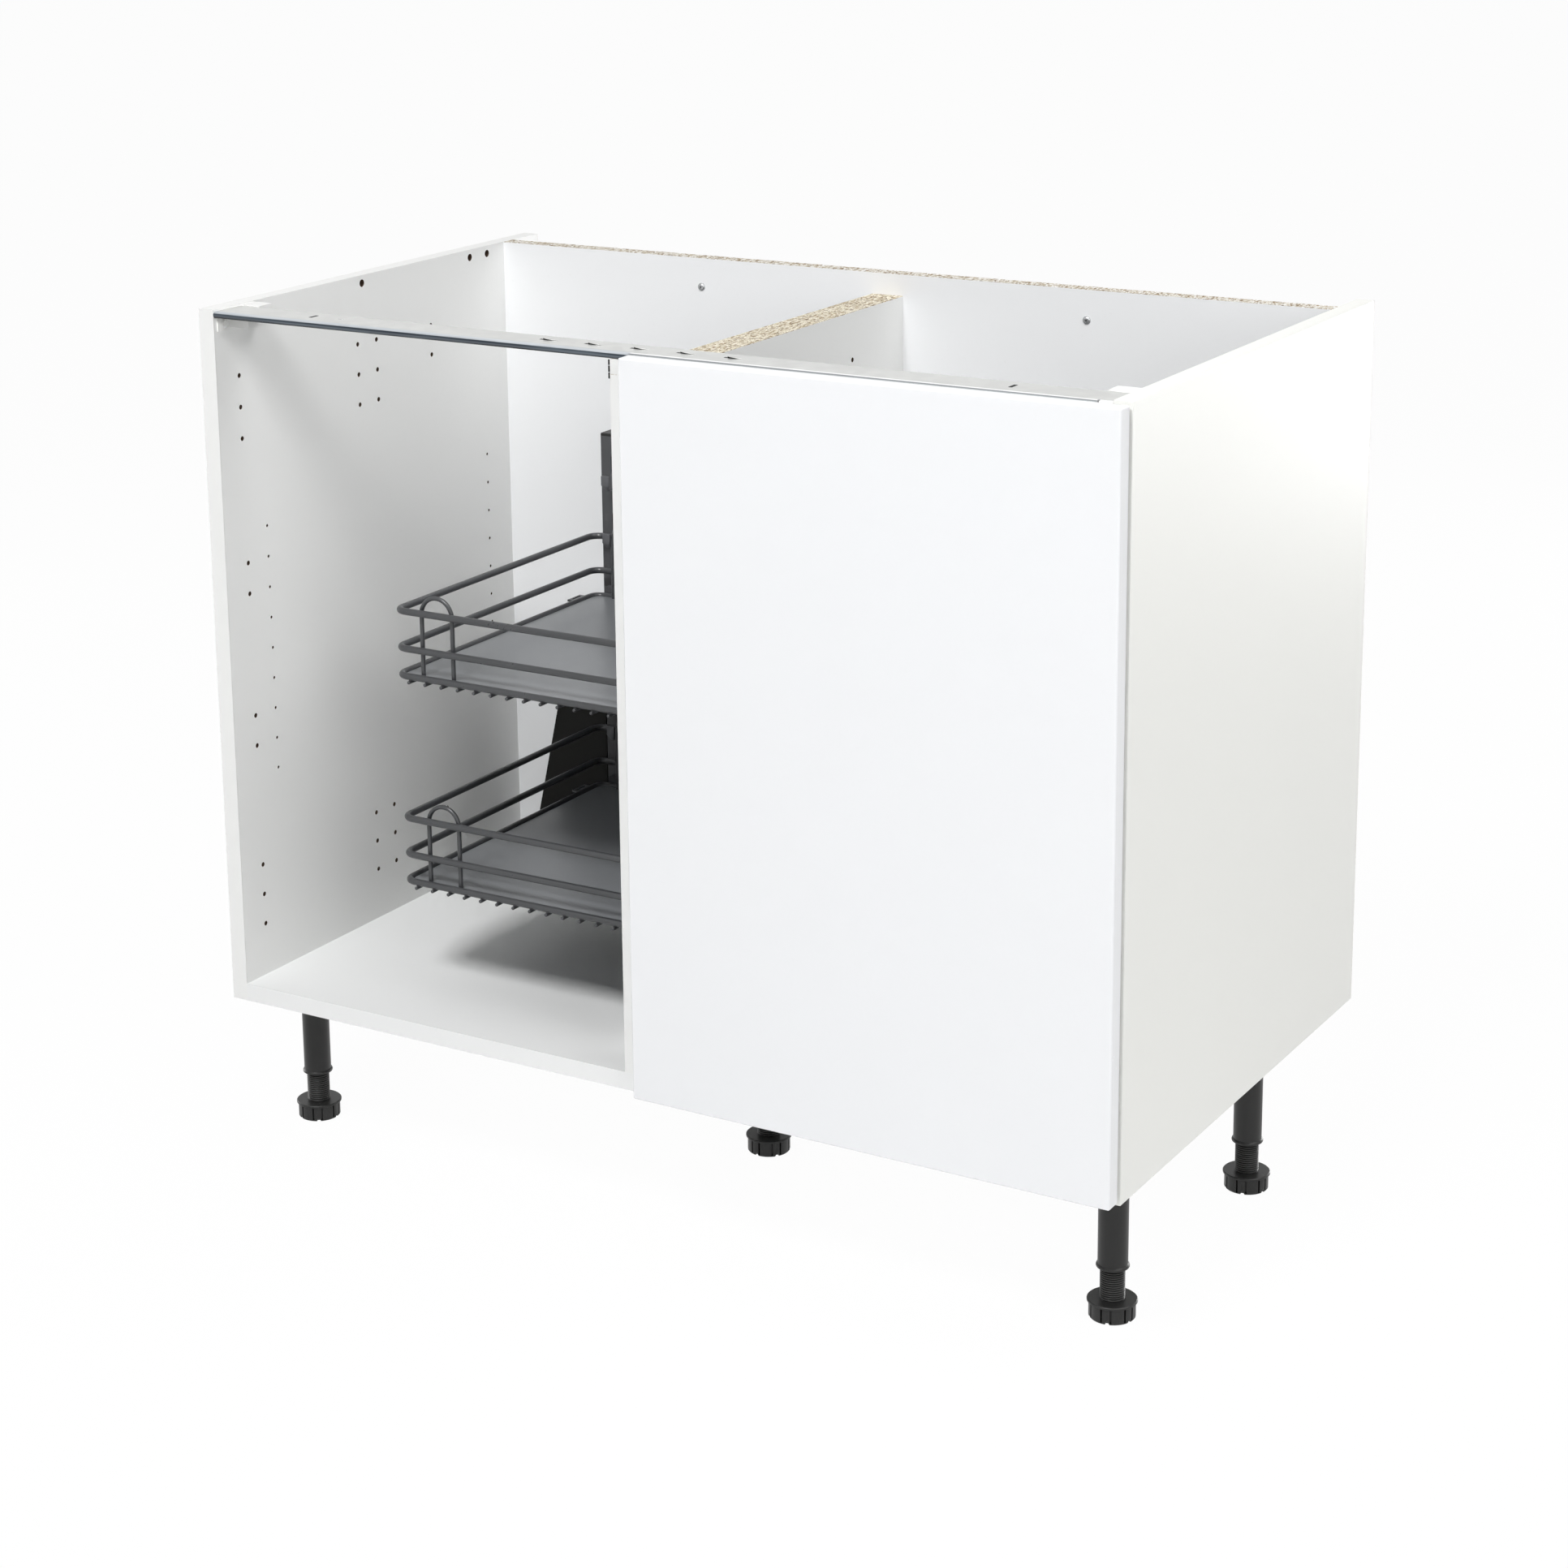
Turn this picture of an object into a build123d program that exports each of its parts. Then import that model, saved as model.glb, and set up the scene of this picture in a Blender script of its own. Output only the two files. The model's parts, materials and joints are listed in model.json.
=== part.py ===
from build123d import *
import os
from math import atan2, cos, degrees, hypot, sin, sqrt

# Blind-corner base cabinet with a two-basket rack that rolls sideways on floor tracks.
# Millimetres. +X to the right, +Y to the rear, +Z up. The origin is on the floor,
# under the middle of the cabinet with its door.

# Carcass of melamine-faced board
CARCASS_W = 1000
CARCASS_H = 720
CARCASS_D = 560
BOARD = 18
BACK_INSET = 48          # the side panels run on behind the back panel

# Door over the right half
DOOR_T = 18
DOOR_GAP = 2             # between the door and the carcass
DOOR_REVEAL = 1.5        # the door stops this far inside the carcass's side
DOOR_END_GAP = 2.5       # at the door's top and bottom
DOOR_MID_GAP = 3.5       # from the carcass's middle to the door's edge
DOOR_EDGE_R = 1.8

# Legs with screw-in feet
LEG_H = 150
LEG_TUBE_R = 14
LEG_TUBE_BORE_R = 11.9
LEG_BEAD_R = 15.5
LEG_BEAD_H = 3.5
LEG_NECK_H = 3.5         # plain end of the tube below its bead
THREAD_SHOW = 33         # thread seen between the tube and the foot's disc
THREAD_IN_TUBE = 42
THREAD_R = 11.5
THREAD_DEPTH = 0.9
THREAD_PITCH = 2.5
FOOT_DISC_R = 23.4
FOOT_DISC_T = 2
FOOT_SKIRT_R = 21.7
FOOT_SKIRT_H = 14
FOOT_SLOTS = 8
FOOT_SLOT_W = 3.2
FOOT_SLOT_DEPTH = 3
SOCKET_PLATE = 60
SOCKET_PLATE_T = 4
SOCKET_COLLAR_R = 18
SOCKET_COLLAR_H = 22
SOCKET_SCREW_PITCH = 40
LEG_SIDE_INSET = 42
LEG_FRONT_INSET = 79
LEG_REAR_INSET = 117     # from the bottom panel's rear edge
LEG_NECK_SET = 1         # neck's radius under the tube's
SOCKET_CORNER_R = 8

# 32 mm drilling in the side panels
GRID = 32
GRID_Y0 = 35             # first column of holes, behind the front edge
GRID_Z0 = 72.8           # lowest row of holes, above the carcass's underside
GRID_HOLE_R = 2.5
GRID_SMALL_R = 1.6
GRID_HOLE_DEPTH = 12
TOP_HOLE_R = 4
TOP_HOLE_DROP = 8.5
TOP_HOLE_YS = (238, 430, 462)

# Post of the front frame and the beam behind it
STILE_W = 36
STILE_D = 50
BEAM_H = 97.5
BEAM_DROP = 22.5         # from the carcass's top to the beam's top
STILE_PLATE_T = 1.6
STILE_PLATE_D = 28
STILE_PLATE_H = 44
STILE_PLATE_W = 22
STILE_PLATE_SET = 2      # behind the carcass's front edge
STILE_SCREW_REACH = 8
STILE_BEAD_ROOM = 1

# Sheet rail across the top of the front
RAIL_T = 1.5
RAIL_D = 42
RAIL_DROP = 2            # its top lies this far below the side panels' tops
RAIL_BEAD_R = 3.2
RAIL_REAR_LIP = 7
RAIL_TAB_D = 15.6
RAIL_TAB_Y = 5
RAIL_TAB_H = 20.6
RAIL_SCREW_RISE = 7      # above the tab's lower end
RAIL_LIP_GAP = 4         # from the rear lip's end to the corner block
RAIL_NOTCH_L = 16
RAIL_SLOT_L = 13
RAIL_SLOT_W = 4
RAIL_SLOT_PITCH = 50
RAIL_SLOT_SHIFT = -5     # the row of slots lies this far off the middle
RAIL_SLOTS = 5
RAIL_SLOT_Y = 25
RAIL_END_SLOT_X = 377    # from the middle to the crosswise slots

# Plastic blocks that carry the rail's ends
BLOCK_L = 24
BLOCK_Y = 24
BLOCK_D = 38
BLOCK_H = 17
BLOCK_RISE = 1.2         # its rear part stands this far over the rail

# Track and rollers
ROLLER_R = 11
ROLLER_W = 9
TRACK_T = 1.5
TRACK_D = 20
TRACK_PLAY = 0.6         # roller diameter to the track's inner height
ROLLER_LIFT = 0.1        # roller above the running face
TRACK_REAR_GAP = 16      # from the rear track's web to the back panel
TRACK_GAUGE = 140        # between the two webs
TRACK_END_SPARE = 5
STOP_L = 10
STOP_GAP = 0.5
TRACK_SCREWS = 5

# Rack
RACK_LEFT_TRAVEL = 20
RACK_LEFT_GAP = 13       # to the side panel, at the left end of the travel
RACK_RIGHT_GAP = 7       # the same at the right end
BASE_T = 3
BASE_OVER_TRACK = 2.4
BASE_FRONT_SET = 7       # base's front edge behind the front track's web
BASE_MARGIN = 1
BASE_WEB_T = 2.5
BASE_UPSTAND_T = 2
BASE_UPSTAND_H = 26
BASE_UPSTAND_INSET = 14  # its ends inside the tower plate's
BASE_WEB_GAP = 4         # from the track to the base's web
BASE_WEB_DROP = 9        # below the rollers' axis
ROLLER_INSET = 82        # roller's middle inside the base's end
ROLLER_SIDE_GAP = 1.5
ROLLER_EDGE = 0.6
ROLLER_HOLES = 6
ROLLER_HOLE_R = 1.6
ROLLER_HOLE_REACH = 7
AXLE_R = 3
AXLE_SHOULDER_R = 4.5
AXLE_HEAD_R = 5
AXLE_HEAD_T = 2

TOWER_T = 2
TOWER_H = 251
TOWER_LEAN = 57          # each slanted edge draws in this far
TOWER_HALF_W = 281
TOWER_LIP = 8
POST_W = 30
POST_D = 25
POST_WALL = 2
TOWER_GAP = 7            # from the tower plate's lips to the back panel
TOWER_FOOT_REACH = (90, 225)
TOWER_FOOT_DROP = 12     # below the upstand's top
POST_SCREW_RISES = (60, 140, 220)
POST_EDGE_R = 1.5
POST_SLOT_RISE = 22      # slot's top above its hook's lip
POST_SLOT_H = 3
POST_TOP = 525           # above the carcass's underside
POST_INSET = 1.5         # post's outer face inside the basket's side rail
POST_CAP_T = 3
POST_CAP_EDGE = 0.8
POST_CAP_PLUG = 12
NUT_T = 3
SLEEVE_T = 2
SLEEVE_FLANGE = 12
SLEEVE_H = 255
FIT = 0.3                # loose fit between assembled pieces
RUN = 0.05               # running clearance on a radius, and the gap at a weld

# Baskets of welded wire
BASKET_W = 330
BASKET_FRONT_SET = 78    # from the carcass's front edge
BASKET_TO_POST = 14      # from its rear rail's middle to the posts
RAIL_WIRE_R = 3.5
RAIL_CORNER_R = 12
UPPER_BASKET_Z = 350     # its bottom rail, above the carcass's underside
LOWER_BASKET_Z = 133
MID_RAIL_RISE = 28.5
TOP_RAIL_RISE = 67
ARCH_WIRE_R = 2.25
ARCH_INSET = 28
ARCH_W = 37
ARCH_RISE = 15
CROSS_WIRE_R = 1.75
CROSS_WIRES = 16
CROSS_INSET = 16
CROSS_POKE = 5
CROSS_END_FLAT = 0.4
TRAY_T = 4
TRAY_GAP = 0.8
TAB_L = 24
TAB_W = 9
TAB_T = 2
TAB_SLOT_END = 4
HOOK_W = 10
HOOK_PITCH = 64
HOOK_LIP_T = 3.5
HOOK_LIP_RISE = 5.5
HOOK_FLOOR_T = 4.5
HOOK_PLAY = 1
HOOK_BACK_RISE = 3       # above the rail's middle
HOOK_EDGE = 2.5
HOOK_INSET = 20.5        # hook's middle inside the basket's side rail
REST_W = 14
REST_H = 12

# Concealed door hinge, drawn with the door shut
HINGE_GRID_ROWS = (0.5, 17.5)
CUP_R = 17.5
CUP_WALL = 1
CUP_DEPTH = 11.5
CUP_INSET = 22.5         # cup's middle inside the door's edge
CUP_FLANGE_T = 1.2
CUP_FLANGE_H = 60
CUP_FLANGE_REACH = 12    # from the cup's middle, away from the hinge's arm
CUP_FLANGE_CLEAR = 5     # short of the door pivot
CUP_LUG_REACH = 3.5
CUP_LUG_RISE = 3
CUP_SCREW_REACH = 24
DOOR_PIVOT_IN = 10.5     # door pivot inside the door's edge
DOOR_PIVOT_DEPTH = 5     # door pivot below the door's back
ARM_PIVOT_IN = 32        # arm pivot inside the carcass's side
ARM_PIVOT_Y = 4          # arm pivot behind the carcass's front edge
LINK_T = 2.4
LINK_W = 12
LINK_EYE_R = 3
LINK_EYE_EASE = 0.2      # door end of the link, to clear the cup
HINGE_PIN_R = 1.5
PIN_HEAD_T = 0.8
PIN_HEAD_RIM = 1
EAR_T = 1.8
ARM_T = 11
ARM_L = 54
ARM_GAP = 6              # from the arm pivot to the arm's body
ARM_SIDE_SET = 1         # arm's body set in from the middle of its ears
ARM_EYE_RIM = 0.6
ARM_NECK_REACH = 3
ARM_SCREW_INSET = 9      # from the plate's rear end
PLATE_SHIFT = 4          # plate's middle behind its screws
PLATE_D = 40
PLATE_WING_H = 52
PLATE_WING_T = 4
PLATE_WING_D = 16
BUMPER_R = 4
BUMPER_T = 1.5
BUMPER_INSET = 40

# Fasteners
SCREW_R = 2
SCREW_L = 14
SCREW_HEAD_R = 4
SCREW_HEAD_T = 2.4
SCREW_HOLE = 0.05
ARM_SCREW_L = 17
CUP_SCREW_L = 10
TOWER_SCREW_L = 10
BLOCK_SCREW_L = 18
BACK_SCREW_X = 225.5     # screws seen near the top of the back panel
BACK_SCREW_DROP = 31
DOWEL_R = 4
DOWEL_L = 30
DOWEL_IN_SIDE = 11       # part of a dowel that stands in a side panel
DOWEL_IN_FACE = 14       # part of one that stands in another panel's face
DOWEL_FRONT_INSET = 30
DOWEL_REAR_INSET = 32    # from the bottom panel's rear edge
DOWEL_ZS = (60, 340, 620)
CAM_R = 7.5
CAM_DEPTH = 12.5
CAM_FROM_EDGE = 34
CAM_STUD_R = 3
CAM_STUD_IN_SIDE = 8
CAM_YS = (150, 330)
CAM_ZS = (130, 560)

# Places that follow from the sizes above
FRONT = -(CARCASS_D - DOOR_T - DOOR_GAP) / 2
REAR = FRONT + CARCASS_D
HALF_W = CARCASS_W / 2
INNER_X = HALF_W - BOARD
UNDER = LEG_H
TOP = UNDER + CARCASS_H
FLOOR = UNDER + BOARD
BACK_REAR = REAR - BACK_INSET
BACK_FACE = BACK_REAR - BOARD
BEAM_TOP = TOP - BEAM_DROP
STILE_REAR = FRONT + STILE_D
RAIL_TOP = TOP - RAIL_DROP
DOOR_BACK = FRONT - DOOR_GAP
DOOR_FRONT = DOOR_BACK - DOOR_T
DOOR_RIGHT = HALF_W - DOOR_REVEAL
BASE_HALF = TOWER_HALF_W + BASE_MARGIN
RACK_X = RACK_LEFT_GAP + RACK_LEFT_TRAVEL + BASE_HALF - INNER_X
RACK_RIGHT_TRAVEL = INNER_X - RACK_RIGHT_GAP - BASE_HALF - RACK_X
ROLLER_REACH = BASE_HALF - ROLLER_INSET
POST_FRONT = BACK_FACE - TOWER_GAP - TOWER_LIP - TOWER_T - SLEEVE_T - POST_D
BASKET_FRONT = FRONT + BASKET_FRONT_SET
BASKET_REAR = POST_FRONT - BASKET_TO_POST


def block(x0, x1, y0, y1, z0, z1):
    middle = ((x0 + x1) / 2, (y0 + y1) / 2, (z0 + z1) / 2)
    return Pos(*middle) * Box(abs(x1 - x0), abs(y1 - y0), abs(z1 - z0))


def bar(axis, start, length, radius, end_radius=None):
    # Round bar from a point along a row axis; a negative length runs backwards
    turns = {"x": (0, 90, 0), "y": (-90, 0, 0), "z": (0, 0, 0)}
    step = {"x": (1, 0, 0), "y": (0, 1, 0), "z": (0, 0, 1)}[axis]
    low = min(length, 0)
    place = Pos(*(p + low * s for p, s in zip(start, step))) * Rot(*turns[axis])
    base = (Align.CENTER, Align.CENTER, Align.MIN)
    if end_radius is None:
        return place * Cylinder(radius, abs(length), align=base)
    bottom, top = (radius, end_radius) if length > 0 else (end_radius, radius)
    return place * Cone(bottom, top, abs(length), align=base)


def without(solid, cuts):
    for cut in cuts:
        solid = solid - cut
    return solid


def side_signs():
    return (("left", -1), ("right", 1))


def save(name, solids):
    shape = solids[0] if len(solids) == 1 else Compound(children=list(solids))
    export_step(shape, f"parts/{name}.step")


# Panhead screw: the head lies on a face, the shank runs along an axis from it
def screw(axis, seat, direction, length=SCREW_L):
    head = bar(axis, seat, -direction * SCREW_HEAD_T, SCREW_HEAD_R)
    return head + bar(axis, seat, direction * length, SCREW_R)


def screw_hole(axis, seat, direction, length=SCREW_L):
    return bar(axis, seat, direction * (length + 1), SCREW_R + SCREW_HOLE)


# Dowels and cam fittings

def dowel_places():
    # Axis and middle of each dowel
    places = []
    half = DOWEL_L / 2
    first, last = FRONT + DOWEL_FRONT_INSET, BACK_REAR - DOWEL_REAR_INSET
    for _, side in side_signs():
        x = side * (INNER_X + DOWEL_IN_SIDE - half)
        places += [("x", (x, y, UNDER + BOARD / 2)) for y in (first, (first + last) / 2, last)]
        places += [("x", (x, BACK_FACE + BOARD / 2, FLOOR + z)) for z in DOWEL_ZS]
    beam_z = BEAM_TOP - BEAM_H / 2
    for x in (-STILE_W / 4, STILE_W / 4):
        places.append(("z", (x, FRONT + STILE_D / 2, FLOOR - DOWEL_IN_FACE + half)))
        places.append(("y", (x, STILE_REAR, beam_z)))
        places.append(("y", (x, BACK_FACE + DOWEL_IN_FACE - half, beam_z)))
    return places


def dowel_shapes(clearance=0.0):
    step = {"x": (1, 0, 0), "y": (0, 1, 0), "z": (0, 0, 1)}
    shapes = []
    for axis, centre in dowel_places():
        half = DOWEL_L / 2 + clearance
        start = tuple(c - half * s for c, s in zip(centre, step[axis]))
        shapes.append(bar(axis, start, 2 * half, DOWEL_R + clearance))
    return shapes


def cam_places():
    # Side of the cabinet, then the pocket's axis, mouth and direction
    places = []
    for _, side in side_signs():
        x = side * (INNER_X - CAM_FROM_EDGE)
        places += [(side, "z", (x, FRONT + y, UNDER), 1) for y in CAM_YS]
        places += [(side, "y", (x, BACK_REAR, FLOOR + z), -1) for z in CAM_ZS]
    return places


def cam_stud(side, axis, mouth, clearance=0.0):
    x, y, z = mouth
    start = (x, y, UNDER + BOARD / 2) if axis == "z" else (x, BACK_FACE + BOARD / 2, z)
    length = CAM_FROM_EDGE + CAM_STUD_IN_SIDE + clearance
    return bar("x", start, side * length, CAM_STUD_R + clearance)


def cam_fittings():
    solids = []
    for side, axis, mouth, direction in cam_places():
        cam = bar(axis, mouth, direction * CAM_DEPTH, CAM_R)
        solids.append(cam - cam_stud(side, axis, mouth, RUN))
        solids.append(cam_stud(side, axis, mouth))
    return solids


def cam_pockets():
    cuts = []
    for side, axis, mouth, direction in cam_places():
        cuts.append(bar(axis, mouth, direction * (CAM_DEPTH + RUN), CAM_R + RUN))
        cuts.append(cam_stud(side, axis, mouth, RUN))
    return cuts


# Side panels with their drilling

def grid_y(column):
    return FRONT + GRID_Y0 + column * GRID


def grid_z(row):
    return UNDER + GRID_Z0 + row * GRID


def grid_holes():
    front_rows = (0, 1, 2, 6, 7, 11, 12, 16, 17, 18)
    holes = [(0, row, GRID_HOLE_R) for row in front_rows]
    holes += [(1, row, GRID_SMALL_R) for row in range(5, 14)]
    holes += [(13, row, GRID_SMALL_R) for row in range(7, 14)]
    for row in (0, 1, 2, 16, 17, 18):
        holes += [(6, row, GRID_HOLE_R), (7, row, GRID_HOLE_R)]
    holes += [(10, row, GRID_HOLE_R) for row in (1, 17, 18)]
    return holes


def side_drilling(side):
    face = side * INNER_X
    cuts = []
    for column, row, radius in grid_holes():
        start = (face, grid_y(column), grid_z(row))
        cuts.append(bar("x", start, side * GRID_HOLE_DEPTH, radius))
    for y in TOP_HOLE_YS:
        start = (face, FRONT + y, TOP - TOP_HOLE_DROP)
        cuts.append(bar("x", start, side * GRID_HOLE_DEPTH, TOP_HOLE_R))
    return cuts


def side_panel(side):
    board = block(side * INNER_X, side * HALF_W, FRONT, REAR, UNDER, TOP)
    cuts = side_drilling(side)
    cuts.append(screw_hole("x", rail_screw_seat(side), side))
    cuts.append(screw_hole("x", block_screw_seat(side), side, BLOCK_SCREW_L))
    return without(board, cuts + dowel_shapes(RUN) + cam_pockets())


def leg_places():
    side_x = HALF_W - LEG_SIDE_INSET
    front, rear = FRONT + LEG_FRONT_INSET, BACK_REAR - LEG_REAR_INSET
    return {
        "front_left": (-side_x, front),
        "front_right": (side_x, front),
        "rear_left": (-side_x, rear),
        "rear_right": (side_x, rear),
        "middle": (0, (front + rear) / 2),
    }


def socket_screw_seats(place):
    x, y = place
    reach = SOCKET_SCREW_PITCH / 2
    corners = ((-1, -1), (-1, 1), (1, -1), (1, 1))
    return [(x + i * reach, y + j * reach, UNDER - SOCKET_PLATE_T) for i, j in corners]


def all_socket_screw_seats():
    return [seat for place in leg_places().values() for seat in socket_screw_seats(place)]


def bottom_panel():
    board = block(-INNER_X, INNER_X, FRONT, BACK_REAR, UNDER, FLOOR)
    cuts = [screw_hole("z", seat, 1) for seat in all_socket_screw_seats()]
    cuts += [screw_hole("z", seat, -1) for seat in track_screw_seats()]
    return without(board, cuts + dowel_shapes(RUN) + cam_pockets())


def back_panel():
    board = block(-INNER_X, INNER_X, BACK_FACE, BACK_REAR, FLOOR, TOP)
    cuts = [screw_hole("y", seat, 1) for seat in back_screw_seats()]
    return without(board, cuts + dowel_shapes(RUN) + cam_pockets())


def back_screw_seats():
    return [(side * BACK_SCREW_X, BACK_FACE, TOP - BACK_SCREW_DROP) for _, side in side_signs()]


def top_beam():
    half = STILE_W / 2
    board = block(-half, half, STILE_REAR, BACK_FACE, BEAM_TOP - BEAM_H, BEAM_TOP)
    hole = bar("x", (half, grid_y(11), grid_z(18)), -GRID_HOLE_DEPTH, GRID_HOLE_R)
    return without(board, [hole] + dowel_shapes(RUN))


def stile():
    half = STILE_W / 2
    board = block(-half, half, FRONT, STILE_REAR, FLOOR, BEAM_TOP)
    cuts = [screw_hole("x", seat, 1) for seat in stile_screw_seats()]
    return without(board, cuts + dowel_shapes(RUN))


# Angle that ties the stile to the rail above it

def stile_screw_seats():
    face = -STILE_W / 2 - STILE_PLATE_T
    low = BEAM_TOP - STILE_PLATE_H / 2
    y = FRONT + STILE_PLATE_SET + STILE_PLATE_D / 2
    return [(face, y, low + dz) for dz in (-STILE_SCREW_REACH, STILE_SCREW_REACH)]


def stile_bracket():
    side = -STILE_W / 2
    near = FRONT + STILE_PLATE_SET
    far = near + STILE_PLATE_D
    top = RAIL_TOP - RAIL_T
    upright = block(side - STILE_PLATE_T, side, near, far, BEAM_TOP - STILE_PLATE_H, top)
    bead_back = FRONT + 2 * RAIL_BEAD_R + STILE_BEAD_ROOM
    bead_low = RAIL_TOP - 2 * RAIL_BEAD_R - STILE_BEAD_ROOM
    bead_room = block(side - BOARD, side + BOARD, FRONT, bead_back, bead_low, top)
    flange = block(side - STILE_PLATE_T, side + STILE_PLATE_W, bead_back, far, top - STILE_PLATE_T, top)
    cuts = [screw_hole("x", seat, 1) for seat in stile_screw_seats()]
    return without(upright - bead_room + flange, cuts)


# Front rail: flat top, round front bead, short rear lip and a screw tab at each end

def rail_screw_seat(side):
    y = FRONT + RAIL_TAB_Y + RAIL_TAB_D / 2
    return (side * (INNER_X - RAIL_T), y, RAIL_TOP - RAIL_TAB_H + RAIL_SCREW_RISE)


def rail_slots():
    cuts = []
    first = RAIL_SLOT_SHIFT - (RAIL_SLOTS - 1) / 2 * RAIL_SLOT_PITCH
    for i in range(RAIL_SLOTS):
        x = first + i * RAIL_SLOT_PITCH
        slot = SlotOverall(RAIL_SLOT_L, RAIL_SLOT_W)
        cuts.append(Pos(x, FRONT + RAIL_SLOT_Y, RAIL_TOP) * extrude(slot, RAIL_T * 2, both=True))
    for side in (-1, 1):
        slot = Rot(0, 0, 90) * SlotOverall(RAIL_SLOT_L, RAIL_SLOT_W)
        place = Pos(side * RAIL_END_SLOT_X, FRONT + RAIL_SLOT_Y, RAIL_TOP)
        cuts.append(place * extrude(slot, RAIL_T * 2, both=True))
    return cuts


def front_rail():
    rear = FRONT + RAIL_D
    under = RAIL_TOP - RAIL_T
    lip_end = INNER_X - BLOCK_L - RAIL_LIP_GAP
    plate = block(-INNER_X, INNER_X, FRONT + RAIL_BEAD_R, rear, under, RAIL_TOP)
    bead_start = (-INNER_X, FRONT + RAIL_BEAD_R, RAIL_TOP - RAIL_BEAD_R)
    bead = bar("x", bead_start, 2 * INNER_X, RAIL_BEAD_R)
    lip = block(-lip_end, lip_end, rear - RAIL_T, rear, RAIL_TOP - RAIL_REAR_LIP, RAIL_TOP)
    rail = plate + bead + lip
    tab_y = FRONT + RAIL_TAB_Y
    for _, side in side_signs():
        tab = (side * (INNER_X - RAIL_T), side * INNER_X, tab_y, tab_y + RAIL_TAB_D)
        rail = rail + block(*tab, RAIL_TOP - RAIL_TAB_H, under)
    notch = block(INNER_X - RAIL_NOTCH_L, INNER_X, FRONT, tab_y, RAIL_TOP - RAIL_TAB_H, RAIL_TOP)
    holes = [screw_hole("x", rail_screw_seat(side), side) for _, side in side_signs()]
    return without(rail, [notch] + holes + rail_slots())


def block_screw_seat(side):
    return (side * (INNER_X - BLOCK_L / 4), FRONT + BLOCK_Y + BLOCK_D / 2, RAIL_TOP - RAIL_T - BLOCK_H / 2)


def corner_block(side):
    inner = side * (INNER_X - BLOCK_L)
    outer = side * INNER_X
    near = FRONT + BLOCK_Y
    far = near + BLOCK_D
    top = RAIL_TOP - RAIL_T
    body = block(inner, outer, near, far, top - BLOCK_H, top)
    rise = block(inner, outer, FRONT + RAIL_D + FIT, far, top, RAIL_TOP + BLOCK_RISE)
    seat = block_screw_seat(side)
    head_room = bar("x", seat, -side * BLOCK_L, SCREW_HEAD_R + FIT)
    return without(body + rise, [head_room, screw_hole("x", seat, side, BLOCK_SCREW_L)])


# Legs and feet

def leg_socket(place):
    x, y = place
    half = SOCKET_PLATE / 2
    plate = block(x - half, x + half, y - half, y + half, UNDER - SOCKET_PLATE_T, UNDER)
    plate = fillet(plate.edges().filter_by(Axis.Z), SOCKET_CORNER_R)
    collar = bar("z", (x, y, UNDER), -SOCKET_COLLAR_H, SOCKET_COLLAR_R)
    bore_start = (x, y, UNDER - SOCKET_PLATE_T)
    bore = bar("z", bore_start, -SOCKET_COLLAR_H, LEG_TUBE_R + RUN)
    cuts = [bore] + [screw_hole("z", seat, 1) for seat in socket_screw_seats(place)]
    return without(plate + collar, cuts)


DISC_TOP = FOOT_SKIRT_H + FOOT_DISC_T
TUBE_END = DISC_TOP + THREAD_SHOW


def leg_tube(place):
    x, y = place
    top = UNDER - SOCKET_PLATE_T - FIT
    bead_z = TUBE_END + LEG_NECK_H
    neck = bar("z", (x, y, TUBE_END), LEG_NECK_H, LEG_TUBE_R - LEG_NECK_SET)
    tube = bar("z", (x, y, bead_z), top - bead_z, LEG_TUBE_R)
    bead = bar("z", (x, y, bead_z), LEG_BEAD_H, LEG_BEAD_R)
    bead = fillet(bead.edges(), LEG_BEAD_H / 2 - 0.2)
    return neck + tube + bead - bar("z", (x, y, TUBE_END), top - TUBE_END, LEG_TUBE_BORE_R)


def foot(place):
    x, y = place
    root = THREAD_R - THREAD_DEPTH
    turns = int((THREAD_SHOW + THREAD_IN_TUBE) / THREAD_PITCH)
    top = DISC_TOP + turns * THREAD_PITCH
    profile = [(0, DISC_TOP), (root, DISC_TOP)]
    for i in range(turns):
        low = DISC_TOP + i * THREAD_PITCH
        profile += [(THREAD_R, low + THREAD_PITCH / 2), (root, low + THREAD_PITCH)]
    profile += [(0, top)]
    outline = Polyline(*[(r, 0, z) for r, z in profile], close=True)
    spindle = Pos(x, y, 0) * revolve(make_face(outline), Axis.Z)
    disc = bar("z", (x, y, FOOT_SKIRT_H), FOOT_DISC_T, FOOT_DISC_R)
    skirt = bar("z", (x, y, 0), FOOT_SKIRT_H, FOOT_SKIRT_R)
    skirt = chamfer(skirt.edges().sort_by(Axis.Z)[0], 1)
    for i in range(FOOT_SLOTS):
        slot = block(FOOT_SKIRT_R - FOOT_SLOT_DEPTH, FOOT_SKIRT_R + 1, -FOOT_SLOT_W / 2, FOOT_SLOT_W / 2,
                     -1, FOOT_SKIRT_H)
        skirt = skirt - Pos(x, y, 0) * Rot(0, 0, (i + 0.5) * 360 / FOOT_SLOTS) * slot
    return skirt + disc + spindle


# Floor tracks, each a channel that opens towards the other: running flange, web and top flange

def track_sides():
    rear = BACK_FACE - TRACK_REAR_GAP
    return (("front", rear - TRACK_GAUGE, 1), ("rear", rear, -1))


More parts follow.
